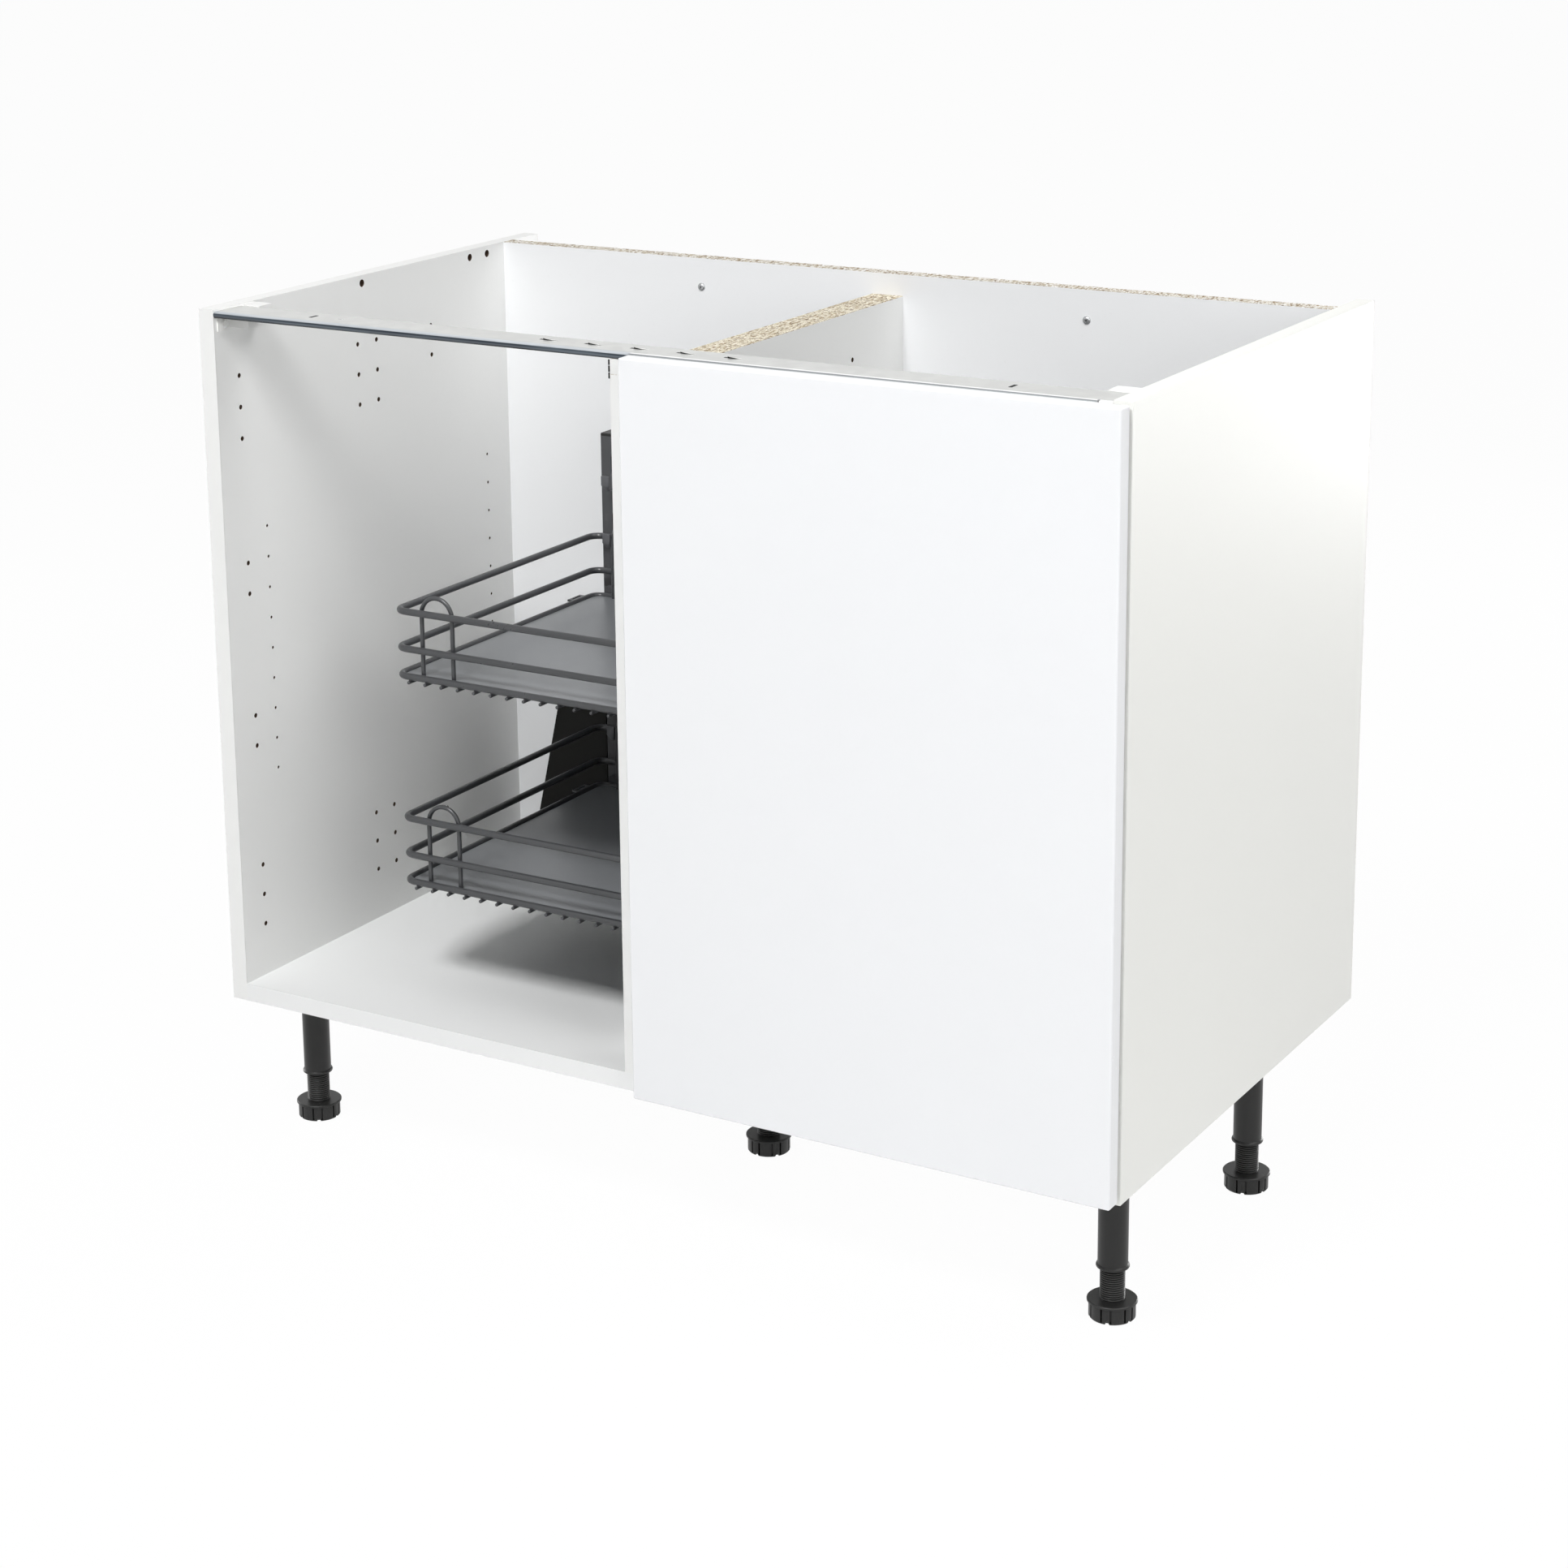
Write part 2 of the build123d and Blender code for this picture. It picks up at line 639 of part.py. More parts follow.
TRACK_RUN_Z = FLOOR + TRACK_T
ROLLER_Z = TRACK_RUN_Z + ROLLER_LIFT + ROLLER_R
TRACK_TOP = TRACK_RUN_Z + 2 * ROLLER_R + TRACK_PLAY + TRACK_T
STOP_LEFT = RACK_X - ROLLER_REACH - RACK_LEFT_TRAVEL - ROLLER_R - STOP_GAP
STOP_RIGHT = RACK_X + ROLLER_REACH + RACK_RIGHT_TRAVEL + ROLLER_R + STOP_GAP
TRACK_LEFT = STOP_LEFT - STOP_L - TRACK_END_SPARE
TRACK_RIGHT = STOP_RIGHT + STOP_L + TRACK_END_SPARE


def track_screw_seats():
    seats = []
    span = STOP_RIGHT - STOP_LEFT - 2 * GRID
    for _, web, inward in track_sides():
        for i in range(TRACK_SCREWS):
            x = STOP_LEFT + GRID + span * i / (TRACK_SCREWS - 1)
            seats.append((x, web + inward * TRACK_D / 2, TRACK_RUN_Z))
    return seats


def track(web, inward):
    x = (TRACK_LEFT, TRACK_RIGHT)
    edge = web + inward * TRACK_D
    under_top = TRACK_TOP - TRACK_T
    upright = block(*x, web, web + inward * TRACK_T, TRACK_RUN_Z + RUN, under_top - RUN)
    lower = block(*x, web, edge, FLOOR, TRACK_RUN_Z)
    upper = block(*x, web, edge, under_top, TRACK_TOP)
    cuts = [bar("z", seat, -TRACK_T, SCREW_HEAD_R + RUN, SCREW_R + RUN) for seat in track_screw_seats()]
    return [without(lower, cuts), upright, upper]


def track_screw(seat):
    x, y, z = seat
    head = bar("z", (x, y, z - 0.1), -(TRACK_T - 0.1), SCREW_HEAD_R - 0.1, SCREW_R)
    return head + bar("z", (x, y, z - TRACK_T), -(SCREW_L - TRACK_T), SCREW_R)


def track_stops():
    solids = []
    for _, web, inward in track_sides():
        inside = web + inward * (TRACK_T + FIT)
        mouth = web + inward * (TRACK_D - FIT)
        for start, end in ((STOP_LEFT - STOP_L, STOP_LEFT), (STOP_RIGHT, STOP_RIGHT + STOP_L)):
            solids.append(block(start, end, inside, mouth, TRACK_RUN_Z, TRACK_TOP - TRACK_T - FIT))
    return solids


# Carriage: base plate over the tracks, rollers on shouldered axles

BASE_UNDER = TRACK_TOP + BASE_OVER_TRACK
BASE_TOP = BASE_UNDER + BASE_T
TOWER_FACE = POST_FRONT + POST_D + SLEEVE_T
TOWER_BACK = TOWER_FACE + TOWER_T


def roller_places():
    places = {}
    for row, web, inward in track_sides():
        for name, side in side_signs():
            places[f"{row}_{name}"] = (RACK_X + side * ROLLER_REACH, web, inward)
    return places


def roller_span(web, inward):
    near = web + inward * (TRACK_T + AXLE_HEAD_T + 2 * FIT + ROLLER_SIDE_GAP)
    return near, near + inward * ROLLER_W


def web_face(web, inward):
    return web + inward * (TRACK_D + BASE_WEB_GAP)


def carriage_base():
    # Welded from four flat parts: plate, upstand behind the tower, and a web along each track
    x = (RACK_X - BASE_HALF, RACK_X + BASE_HALF)
    rear = TOWER_BACK + BASE_UPSTAND_T
    tracks = track_sides()
    plate = block(*x, tracks[0][1] + BASE_FRONT_SET, rear, BASE_UNDER, BASE_TOP)
    upstand_half = TOWER_HALF_W - TOWER_T - BASE_UPSTAND_INSET
    upstand = block(RACK_X - upstand_half, RACK_X + upstand_half, TOWER_BACK, rear,
                    BASE_TOP + RUN, BASE_TOP + BASE_UPSTAND_H)
    solids = [plate, without(upstand, [screw_hole("y", (fx, rear, fz), -1) for fx, fz in tower_foot_places()])]
    for _, web, inward in tracks:
        face = web_face(web, inward)
        side = block(*x, face, face + inward * BASE_WEB_T, ROLLER_Z - BASE_WEB_DROP, BASE_UNDER - RUN)
        holes = [bar("y", (rx, face - inward, ROLLER_Z), inward * (BASE_WEB_T + 2), AXLE_R + RUN)
                 for rx, row_web, _ in roller_places().values() if row_web == web]
        solids.append(without(side, holes))
    return solids


def roller(x, web, inward):
    near, far = roller_span(web, inward)
    wheel = bar("y", (x, near, ROLLER_Z), far - near, ROLLER_R)
    wheel = chamfer(wheel.edges(), ROLLER_EDGE)
    bore = bar("y", (x, near - inward, ROLLER_Z), far - near + 2 * inward, AXLE_R + RUN)
    holes = []
    for i in range(ROLLER_HOLES):
        hole = bar("y", (ROLLER_HOLE_REACH, near - inward, 0), far - near + 2 * inward, ROLLER_HOLE_R)
        holes.append(Pos(x, 0, ROLLER_Z) * Rot(0, i * 360 / ROLLER_HOLES, 0) * hole)
    return without(wheel, [bore] + holes)


def roller_axle(x, web, inward):
    near, far = roller_span(web, inward)
    face = web_face(web, inward)
    back = face + inward * BASE_WEB_T
    head = bar("y", (x, near - inward * FIT, ROLLER_Z), -inward * AXLE_HEAD_T, AXLE_HEAD_R)
    end = back + inward * AXLE_HEAD_T
    shank = bar("y", (x, near - inward * FIT, ROLLER_Z), end - near + inward * FIT, AXLE_R)
    shoulder = bar("y", (x, far + inward * FIT, ROLLER_Z), face - far - inward * FIT, AXLE_SHOULDER_R)
    rivet = bar("y", (x, back, ROLLER_Z), inward * AXLE_HEAD_T, AXLE_HEAD_R)
    return head + shank + shoulder + rivet


# Tower: slanted back plate, hat-section sleeves and the two posts

def slanted_plate(drop, inset, near, far):
    low, high = BASE_TOP - drop, BASE_TOP + TOWER_H - inset
    lean = TOWER_LEAN / TOWER_H
    bottom_half = TOWER_HALF_W - inset + drop * lean
    top_half = TOWER_HALF_W - inset - (high - BASE_TOP) * lean
    corners = [(-bottom_half, low), (bottom_half, low), (top_half, high), (-top_half, high)]
    outline = Polyline(*[(RACK_X + x, near, z) for x, z in corners], close=True)
    return extrude(make_face(outline), far - near, dir=(0, 1, 0))


def tower_foot_places():
    z = BASE_TOP + BASE_UPSTAND_H - TOWER_FOOT_DROP
    return [(RACK_X + side * reach, z) for side in (-1, 1) for reach in TOWER_FOOT_REACH]


def post_middle(side):
    return RACK_X + side * (BASKET_W / 2 - POST_INSET - POST_W / 2)


def post_screw_places():
    return [(post_middle(side), BASE_TOP + rise) for side in (-1, 1) for rise in POST_SCREW_RISES]


def tower_plate():
    shell = slanted_plate(0, 0, TOWER_FACE, TOWER_BACK + TOWER_LIP)
    hollow = slanted_plate(1, TOWER_T, TOWER_BACK, TOWER_BACK + TOWER_LIP + 1)
    places = tower_foot_places() + post_screw_places()
    return without(shell - hollow, [screw_hole("y", (x, TOWER_BACK, z), -1) for x, z in places])


def sleeve(side):
    x = post_middle(side)
    inner = POST_W / 2 + FIT
    outer = inner + SLEEVE_T
    z = (BASE_TOP, BASE_TOP + SLEEVE_H)
    body = block(x - outer, x + outer, POST_FRONT, TOWER_FACE, *z)
    body = body - block(x - inner, x + inner, POST_FRONT - 1, TOWER_FACE - SLEEVE_T, BASE_TOP - 1, TOP)
    for edge in (-1, 1):
        rim = (x + edge * outer, x + edge * (outer + SLEEVE_FLANGE))
        body = body + block(*rim, POST_FRONT, POST_FRONT + SLEEVE_T, *z)
    cuts = [screw_hole("y", (px, TOWER_FACE, pz), -1) for px, pz in post_screw_places()]
    return without(body, cuts)


def post(side):
    x = post_middle(side)
    half = POST_W / 2
    rear = POST_FRONT + POST_D
    top = UNDER + POST_TOP
    tube = block(x - half, x + half, POST_FRONT, rear, BASE_TOP, top)
    tube = fillet(tube.edges().filter_by(Axis.Z), POST_EDGE_R)
    hollow = block(x - half + POST_WALL, x + half - POST_WALL, POST_FRONT + POST_WALL, rear - POST_WALL,
                   BASE_TOP - 1, top + 1)
    cuts = [hollow] + [screw_hole("y", (px, rear, pz), -1) for px, pz in post_screw_places()]
    hook_x = hook_middle(side)
    for z in hook_heights():
        slot_z = z + HOOK_LIP_RISE + POST_SLOT_RISE
        cuts.append(block(hook_x - HOOK_W / 2, hook_x + HOOK_W / 2, POST_FRONT - 1, POST_FRONT + POST_WALL + 1,
                          slot_z - POST_SLOT_H, slot_z))
    return without(tube, cuts)


def post_cap(side):
    x = post_middle(side)
    half = POST_W / 2
    rear = POST_FRONT + POST_D
    top = UNDER + POST_TOP
    lid = block(x - half, x + half, POST_FRONT, rear, top, top + POST_CAP_T)
    lid = fillet(lid.edges().filter_by(Axis.Z), POST_EDGE_R)
    lid = chamfer(lid.faces().sort_by(Axis.Z)[-1].edges(), POST_CAP_EDGE)
    inset = POST_WALL + FIT
    plug = block(x - half + inset, x + half - inset, POST_FRONT + inset, rear - inset, top - POST_CAP_PLUG, top)
    return lid + plug


def tower_fasteners():
    solids = []
    rear = TOWER_BACK + BASE_UPSTAND_T
    for x, z in tower_foot_places():
        solids.append(screw("y", (x, rear, z), -1, TOWER_SCREW_L))
        nut = bar("y", (x, TOWER_FACE, z), -NUT_T, SCREW_HEAD_R)
        solids.append(nut - bar("y", (x, TOWER_FACE + 1, z), -NUT_T - 2, SCREW_R + RUN))
    for x, z in post_screw_places():
        solids.append(screw("y", (x, TOWER_BACK, z), -1, TOWER_SCREW_L))
    return solids


# Hooks and rests on the posts

def basket_levels():
    return (("upper", UNDER + UPPER_BASKET_Z), ("lower", UNDER + LOWER_BASKET_Z))


def hook_heights():
    rails = [bottom + TOP_RAIL_RISE for _, bottom in basket_levels()]
    return rails + [z + HOOK_PITCH for z in rails]


def hook_middle(side):
    return RACK_X + side * (BASKET_W / 2 - HOOK_INSET)


def hook(side, z):
    x = (hook_middle(side) - HOOK_W / 2, hook_middle(side) + HOOK_W / 2)
    lip_back = BASKET_REAR - RAIL_WIRE_R - HOOK_PLAY
    back_face = BASKET_REAR + RAIL_WIRE_R + HOOK_PLAY
    floor_top = z - RAIL_WIRE_R - FIT
    floor_low = floor_top - HOOK_FLOOR_T
    back = block(*x, back_face, POST_FRONT, floor_low, z + HOOK_BACK_RISE)
    base = block(*x, lip_back - HOOK_LIP_T, POST_FRONT, floor_low, floor_top)
    lip = block(*x, lip_back - HOOK_LIP_T, lip_back, floor_low, z + HOOK_LIP_RISE)
    solid = back + base + lip
    lowest = solid.faces().sort_by(Axis.Z)[0]
    return chamfer(lowest.edges().filter_by(Axis.Y), HOOK_EDGE)


def basket_rest(side, bottom):
    x = post_middle(side)
    near = BASKET_REAR + RAIL_WIRE_R + FIT
    low = bottom - RAIL_WIRE_R + FIT
    return block(x - REST_W / 2, x + REST_W / 2, near, POST_FRONT, low, low + REST_H)


# Wire baskets

BASKET_MID_Y = (BASKET_FRONT + BASKET_REAR) / 2
BASKET_D = BASKET_REAR - BASKET_FRONT


def rail_loop(z):
    outer = extrude(RectangleRounded(BASKET_W, BASKET_D, RAIL_CORNER_R), 1)
    path = outer.faces().sort_by(Axis.Z)[0].outer_wire()
    start = Location((0, -BASKET_D / 2, 0), (0, 90, 0))
    ring = sweep(start * Circle(RAIL_WIRE_R), path=path, transition=Transition.ROUND)
    return Pos(RACK_X, BASKET_MID_Y, z) * ring


def basket_rails(bottom):
    return [rail_loop(bottom + rise) for rise in (0, MID_RAIL_RISE, TOP_RAIL_RISE)]


ARCH_STAND_OFF = RAIL_WIRE_R + ARCH_WIRE_R + RUN


def arch_places():
    places = []
    for _, side in side_signs():
        middle = RACK_X + side * (BASKET_W / 2 - ARCH_INSET - ARCH_W / 2)
        places.append((middle, BASKET_FRONT + ARCH_STAND_OFF))
        places.append((middle, BASKET_REAR - ARCH_STAND_OFF))
    return places


def basket_arch(x, y, bottom):
    radius = ARCH_W / 2
    low = bottom - RAIL_WIRE_R + RUN
    spring = bottom + TOP_RAIL_RISE + RAIL_WIRE_R + ARCH_RISE - ARCH_WIRE_R - radius
    left, right = (x - radius, y), (x + radius, y)
    path = Line((*left, low), (*left, spring))
    path += ThreePointArc((*left, spring), (x, y, spring + radius), (*right, spring))
    path += Line((*right, spring), (*right, low))
    return sweep(Pos(*left, low) * Circle(ARCH_WIRE_R), path=path)


def basket_arches(bottom):
    return [basket_arch(x, y, bottom) for x, y in arch_places()]


def cross_wires(bottom):
    solids = []
    first = RACK_X - BASKET_W / 2 + CROSS_INSET
    pitch = (BASKET_W - 2 * CROSS_INSET) / (CROSS_WIRES - 1)
    z = bottom - RAIL_WIRE_R - CROSS_WIRE_R - RUN
    near = BASKET_FRONT - CROSS_POKE
    length = BASKET_D + 2 * CROSS_POKE
    for i in range(CROSS_WIRES):
        wire = bar("y", (first + i * pitch, near, z), length, CROSS_WIRE_R)
        solids.append(fillet(wire.edges().filter_by(GeomType.CIRCLE), CROSS_WIRE_R - CROSS_END_FLAT))
    return solids


def basket_tray(bottom):
    inset = 2 * (RAIL_WIRE_R + TRAY_GAP)
    width, depth = BASKET_W - inset, BASKET_D - inset
    low = bottom - RAIL_WIRE_R + RUN
    sheet = extrude(RectangleRounded(width, depth, RAIL_CORNER_R - RAIL_WIRE_R), TRAY_T)
    sheet = Pos(RACK_X, BASKET_MID_Y, low) * sheet
    cuts = []
    for x, y in arch_places():
        for edge in (-1, 1):
            notch = (x + edge * ARCH_W / 2, y, low - 1)
            cuts.append(bar("z", notch, TRAY_T + 2, ARCH_WIRE_R + FIT))
    return without(sheet, cuts)


def basket_tabs():
    solids = []
    far = BASKET_REAR - RAIL_CORNER_R
    for _, bottom in basket_levels():
        for _, side in side_signs():
            inner = RACK_X + side * (BASKET_W / 2 + RAIL_WIRE_R + RUN)
            tab = block(inner, inner + side * TAB_W, far - TAB_L, far, bottom - TAB_T / 2, bottom + TAB_T / 2)
            slot_x = (inner + side * TAB_W * 0.45, inner + side * TAB_W * 0.75)
            slot_y = (far - TAB_L + TAB_SLOT_END, far - TAB_SLOT_END)
            solids.append(tab - block(*slot_x, *slot_y, bottom - TAB_T, bottom + TAB_T))
    return solids


# Door and its concealed hinges

DOOR_PIVOT = (DOOR_RIGHT - DOOR_PIVOT_IN, DOOR_BACK - DOOR_PIVOT_DEPTH)
ARM_PIVOT = (HALF_W - ARM_PIVOT_IN, FRONT + ARM_PIVOT_Y)
CUP_X = DOOR_RIGHT - CUP_INSET
CUP_INNER_R = CUP_R - CUP_WALL


def hinge_heights():
    return [grid_z(row) for row in HINGE_GRID_ROWS]


def cup_screw_seats():
    y = DOOR_BACK + CUP_FLANGE_T
    return [(CUP_X, y, z + side * CUP_SCREW_REACH) for z in hinge_heights() for side in (-1, 1)]


def bumper_places():
    x = DOOR_MID_GAP + (STILE_W / 2 - DOOR_MID_GAP) / 2
    return [(x, DOOR_BACK, z) for z in (UNDER + BUMPER_INSET, BEAM_TOP - BUMPER_INSET)]


def door():
    z = (UNDER + DOOR_END_GAP, TOP - DOOR_END_GAP)
    leaf = block(DOOR_MID_GAP, DOOR_RIGHT, DOOR_FRONT, DOOR_BACK, *z)
    leaf = fillet(leaf.edges(), DOOR_EDGE_R)
    cuts = [bar("y", (CUP_X, DOOR_BACK, h), -(CUP_DEPTH + FIT), CUP_R + RUN) for h in hinge_heights()]
    cuts += [screw_hole("y", seat, -1, CUP_SCREW_L) for seat in cup_screw_seats()]
    return without(leaf, cuts)


def hinge_cup(z):
    mouth = (CUP_X, DOOR_BACK, z)
    cup = bar("y", mouth, -CUP_DEPTH, CUP_R)
    hollow = bar("y", (CUP_X, DOOR_BACK - CUP_DEPTH + CUP_WALL, z), CUP_DEPTH + CUP_FLANGE_T + 1, CUP_INNER_R)
    px, py = DOOR_PIVOT
    flange_x = (CUP_X - CUP_FLANGE_REACH, px - CUP_FLANGE_CLEAR)
    flange = block(*flange_x, DOOR_BACK, DOOR_BACK + CUP_FLANGE_T, z - CUP_FLANGE_H / 2, z + CUP_FLANGE_H / 2)
    shell = cup + flange - hollow
    lug_from = LINK_W / 2 + 2 * FIT
    well = bar("y", (CUP_X, DOOR_BACK - CUP_DEPTH, z), CUP_DEPTH, CUP_INNER_R + CUP_WALL / 2)
    for side in (-1, 1):
        lug = block(px - CUP_LUG_REACH, px + CUP_LUG_REACH, DOOR_BACK - CUP_DEPTH, py + CUP_LUG_RISE,
                    z + side * lug_from, z + side * CUP_R)
        shell = shell + (lug & well)
    cuts = [bar("z", (px, py, z - CUP_R - 1), 2 * CUP_R + 2, HINGE_PIN_R + RUN)]
    cuts += [screw_hole("y", seat, -1, CUP_SCREW_L) for seat in cup_screw_seats()]
    return without(shell, cuts)


def cup_pin(z):
    px, py = DOOR_PIVOT
    reach = px + HINGE_PIN_R - CUP_X
    half = sqrt((CUP_R - CUP_WALL / 2) ** 2 - reach ** 2)
    return bar("z", (px, py, z - half), 2 * half, HINGE_PIN_R)


def link_points():
    # Door pivot, the bend that reaches round the door's edge, and the arm pivot
    (bx, by), (ax, ay) = DOOR_PIVOT, ARM_PIVOT
    along = (atan2(ay - by, ax - bx), hypot(ax - bx, ay - by))
    shape = ((0.0, 0.0), (0.15, -0.21), (0.285, -0.25), (0.72, -0.19), (1.0, 0.0))
    points = []
    for share, swing in shape:
        forward, sideways = share * along[1], -swing * along[1]
        points.append((bx + forward * cos(along[0]) - sideways * sin(along[0]),
                       by + forward * sin(along[0]) + sideways * cos(along[0])))
    return points


def hinge_link(z):
    points = link_points()
    strip = Pos(*points[0]) * Circle(LINK_EYE_R - LINK_EYE_EASE) + Pos(*points[-1]) * Circle(LINK_EYE_R)
    for (x0, y0), (x1, y1) in zip(points, points[1:]):
        middle = Pos((x0 + x1) / 2, (y0 + y1) / 2)
        turn = Rot(0, 0, degrees(atan2(y1 - y0, x1 - x0)))
        strip = strip + middle * turn * SlotCenterToCenter(hypot(x1 - x0, y1 - y0), LINK_T)
    for end in (points[0], points[-1]):
        strip = strip - Pos(*end) * Circle(HINGE_PIN_R + RUN)
    return Pos(0, 0, z - LINK_W / 2) * extrude(strip, LINK_W)


ARM_SIDE_X = ARM_PIVOT[0] + ARM_T / 2 - ARM_SIDE_SET
ARM_FROM_Y = ARM_PIVOT[1] + ARM_GAP
PLATE_FROM_Y = FRONT + GRID_Y0 - PLATE_D / 2 + PLATE_SHIFT


def arm_screw_seat(z):
    return (ARM_SIDE_X - ARM_T, PLATE_FROM_Y + PLATE_D - ARM_SCREW_INSET, z)


def plate_screw_seats(z):
    return [(INNER_X - PLATE_WING_T, grid_y(0), z + dz) for dz in (-GRID / 2, GRID / 2)]


def hinge_arm(z):
    ax, ay = ARM_PIVOT
    half = LINK_W / 2 + FIT + EAR_T
    arm = block(ARM_SIDE_X - ARM_T, ARM_SIDE_X, ARM_FROM_Y, ARM_FROM_Y + ARM_L, z - half, z + half)
    for side in (-1, 1):
        level = z + side * (LINK_W / 2 + FIT + EAR_T / 2)
        eye = Pos(ax, ay, level - EAR_T / 2) * extrude(Circle(LINK_EYE_R + ARM_EYE_RIM), EAR_T)
        neck = block(ax - ARM_NECK_REACH, ax + ARM_NECK_REACH, ay, ARM_FROM_Y + 1, level - EAR_T / 2, level + EAR_T / 2)
        arm = arm + eye + neck
    hole = bar("z", (ax, ay, z - half - 1), 2 * half + 2, HINGE_PIN_R + RUN)
    return without(arm, [hole, screw_hole("x", arm_screw_seat(z), 1)])


def arm_pin(z):
    ax, ay = ARM_PIVOT
    half = LINK_W / 2 + FIT + EAR_T + RUN
    pin = bar("z", (ax, ay, z - half - PIN_HEAD_T), 2 * (half + PIN_HEAD_T), HINGE_PIN_R)
    for side in (-1, 1):
        pin = pin + bar("z", (ax, ay, z + side * half), side * PIN_HEAD_T, HINGE_PIN_R + PIN_HEAD_RIM)
    return pin


def hinge_plate(z):
    half = LINK_W / 2 + FIT + EAR_T
    rib = block(ARM_SIDE_X + FIT, INNER_X, PLATE_FROM_Y, PLATE_FROM_Y + PLATE_D, z - half, z + half)
    wing = block(INNER_X - PLATE_WING_T, INNER_X, grid_y(0) - PLATE_WING_D / 2, grid_y(0) + PLATE_WING_D / 2,
                 z - PLATE_WING_H / 2, z + PLATE_WING_H / 2)
    cuts = [screw_hole("x", arm_screw_seat(z), 1, ARM_SCREW_L)]
    for seat in plate_screw_seats(z):
        cuts.append(screw_hole("x", seat, 1))
        cuts.append(bar("x", seat, -ARM_T, SCREW_HEAD_R + FIT))
    return without(rib + wing, cuts)


def hinge_screws():
    solids = []
    for z in hinge_heights():
        solids += [screw("x", seat, 1) for seat in plate_screw_seats(z)]
        solids.append(screw("x", arm_screw_seat(z), 1, ARM_SCREW_L))
    return solids


def carcass_screws():
    solids = [screw("x", rail_screw_seat(side), side) for _, side in side_signs()]
    solids += [screw("x", block_screw_seat(side), side, BLOCK_SCREW_L) for _, side in side_signs()]
    return solids + [screw("x", seat, 1) for seat in stile_screw_seats()]


def build():
    os.makedirs("parts", exist_ok=True)
    for name, side in side_signs():
        save(f"side_panel_{name}", [side_panel(side)])
        save(f"post_{name}", [post(side)])
    save("bottom_panel", [bottom_panel()])
    save("back_panel", [back_panel()])
    save("back_panel_screws", [screw("y", seat, 1) for seat in back_screw_seats()])
    save("top_beam", [top_beam()])
    save("stile", [stile()])
    save("stile_bracket", [stile_bracket()])
    save("front_rail", [front_rail()])
    save("corner_blocks", [corner_block(side) for _, side in side_signs()])
    save("carcass_screws", carcass_screws())
    save("dowels", dowel_shapes())
    save("cam_fittings", cam_fittings())

    places = leg_places()
    save("leg_sockets", [leg_socket(place) for place in places.values()])
    save("leg_tubes", [leg_tube(place) for place in places.values()])
    save("leg_screws", [screw("z", seat, 1) for seat in all_socket_screw_seats()])
    for name, place in places.items():
        save(f"foot_{name}", [foot(place)])

    for name, web, inward in track_sides():
        save(f"track_{name}", track(web, inward))
    save("track_screws", [track_screw(seat) for seat in track_screw_seats()])
    save("track_stops", track_stops())

    save("carriage_base", carriage_base())
    for name, place in roller_places().items():
        save(f"roller_{name}", [roller(*place)])
    save("roller_axles", [roller_axle(*place) for place in roller_places().values()])
    save("tower_plate", [tower_plate()])
    save("post_sleeves", [sleeve(side) for _, side in side_signs()])
    save("post_caps", [post_cap(side) for _, side in side_signs()])
    save("tower_fasteners", tower_fasteners())
    save("rack_hooks", [hook(side, z) for _, side in side_signs() for z in hook_heights()])
    save("basket_rests", [basket_rest(side, z) for _, side in side_signs() for _, z in basket_levels()])
    for name, bottom in basket_levels():
        save(f"{name}_basket_rails", basket_rails(bottom))
        save(f"{name}_basket_arches", basket_arches(bottom))
        save(f"{name}_basket_wires", cross_wires(bottom))
        save(f"{name}_basket_tray", [basket_tray(bottom)])
    save("basket_tabs", basket_tabs())

    heights = hinge_heights()
    save("door", [door()])
    save("door_bumpers", [bar("y", place, BUMPER_T, BUMPER_R) for place in bumper_places()])
    save("hinge_cups", [hinge_cup(z) for z in heights])
    save("cup_screws", [screw("y", seat, -1, CUP_SCREW_L) for seat in cup_screw_seats()])
    save("cup_pins", [cup_pin(z) for z in heights])
    save("hinge_links", [hinge_link(z) for z in heights])
    save("hinge_arms", [hinge_arm(z) for z in heights])
    save("arm_pins", [arm_pin(z) for z in heights])
    save("hinge_plates", [hinge_plate(z) for z in heights])
    save("hinge_screws", hinge_screws())


build()
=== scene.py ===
import bpy
import json
import math
from mathutils import Matrix, Vector


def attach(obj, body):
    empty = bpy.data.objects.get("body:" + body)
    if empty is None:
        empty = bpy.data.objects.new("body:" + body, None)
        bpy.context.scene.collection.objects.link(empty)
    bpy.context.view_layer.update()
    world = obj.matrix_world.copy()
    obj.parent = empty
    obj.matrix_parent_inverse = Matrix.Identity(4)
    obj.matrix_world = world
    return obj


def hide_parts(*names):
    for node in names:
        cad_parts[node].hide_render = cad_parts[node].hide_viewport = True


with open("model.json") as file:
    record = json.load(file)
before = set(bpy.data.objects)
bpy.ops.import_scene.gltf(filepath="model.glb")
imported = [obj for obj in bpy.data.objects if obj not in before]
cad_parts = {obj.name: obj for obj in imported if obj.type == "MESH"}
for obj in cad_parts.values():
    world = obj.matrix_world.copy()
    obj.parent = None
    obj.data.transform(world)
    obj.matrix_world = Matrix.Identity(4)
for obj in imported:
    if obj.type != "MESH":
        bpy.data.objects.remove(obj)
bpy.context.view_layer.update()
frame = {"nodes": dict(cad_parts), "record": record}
nodes = frame["nodes"]
print("frame loaded:", len(nodes), "nodes")

mm = 0.001
front = -0.270        # carcass's front edge
panelFace = 0.482     # inner faces of the side panels
cabinetFloor = 0.168
railTop = 0.868
rawEdge = {"side": ("y", 0.2897), "bottom": ("y", 0.2417), "back": ("z", 0.8697), "head": ("z", 0.8472)}


# ---- modelling helpers

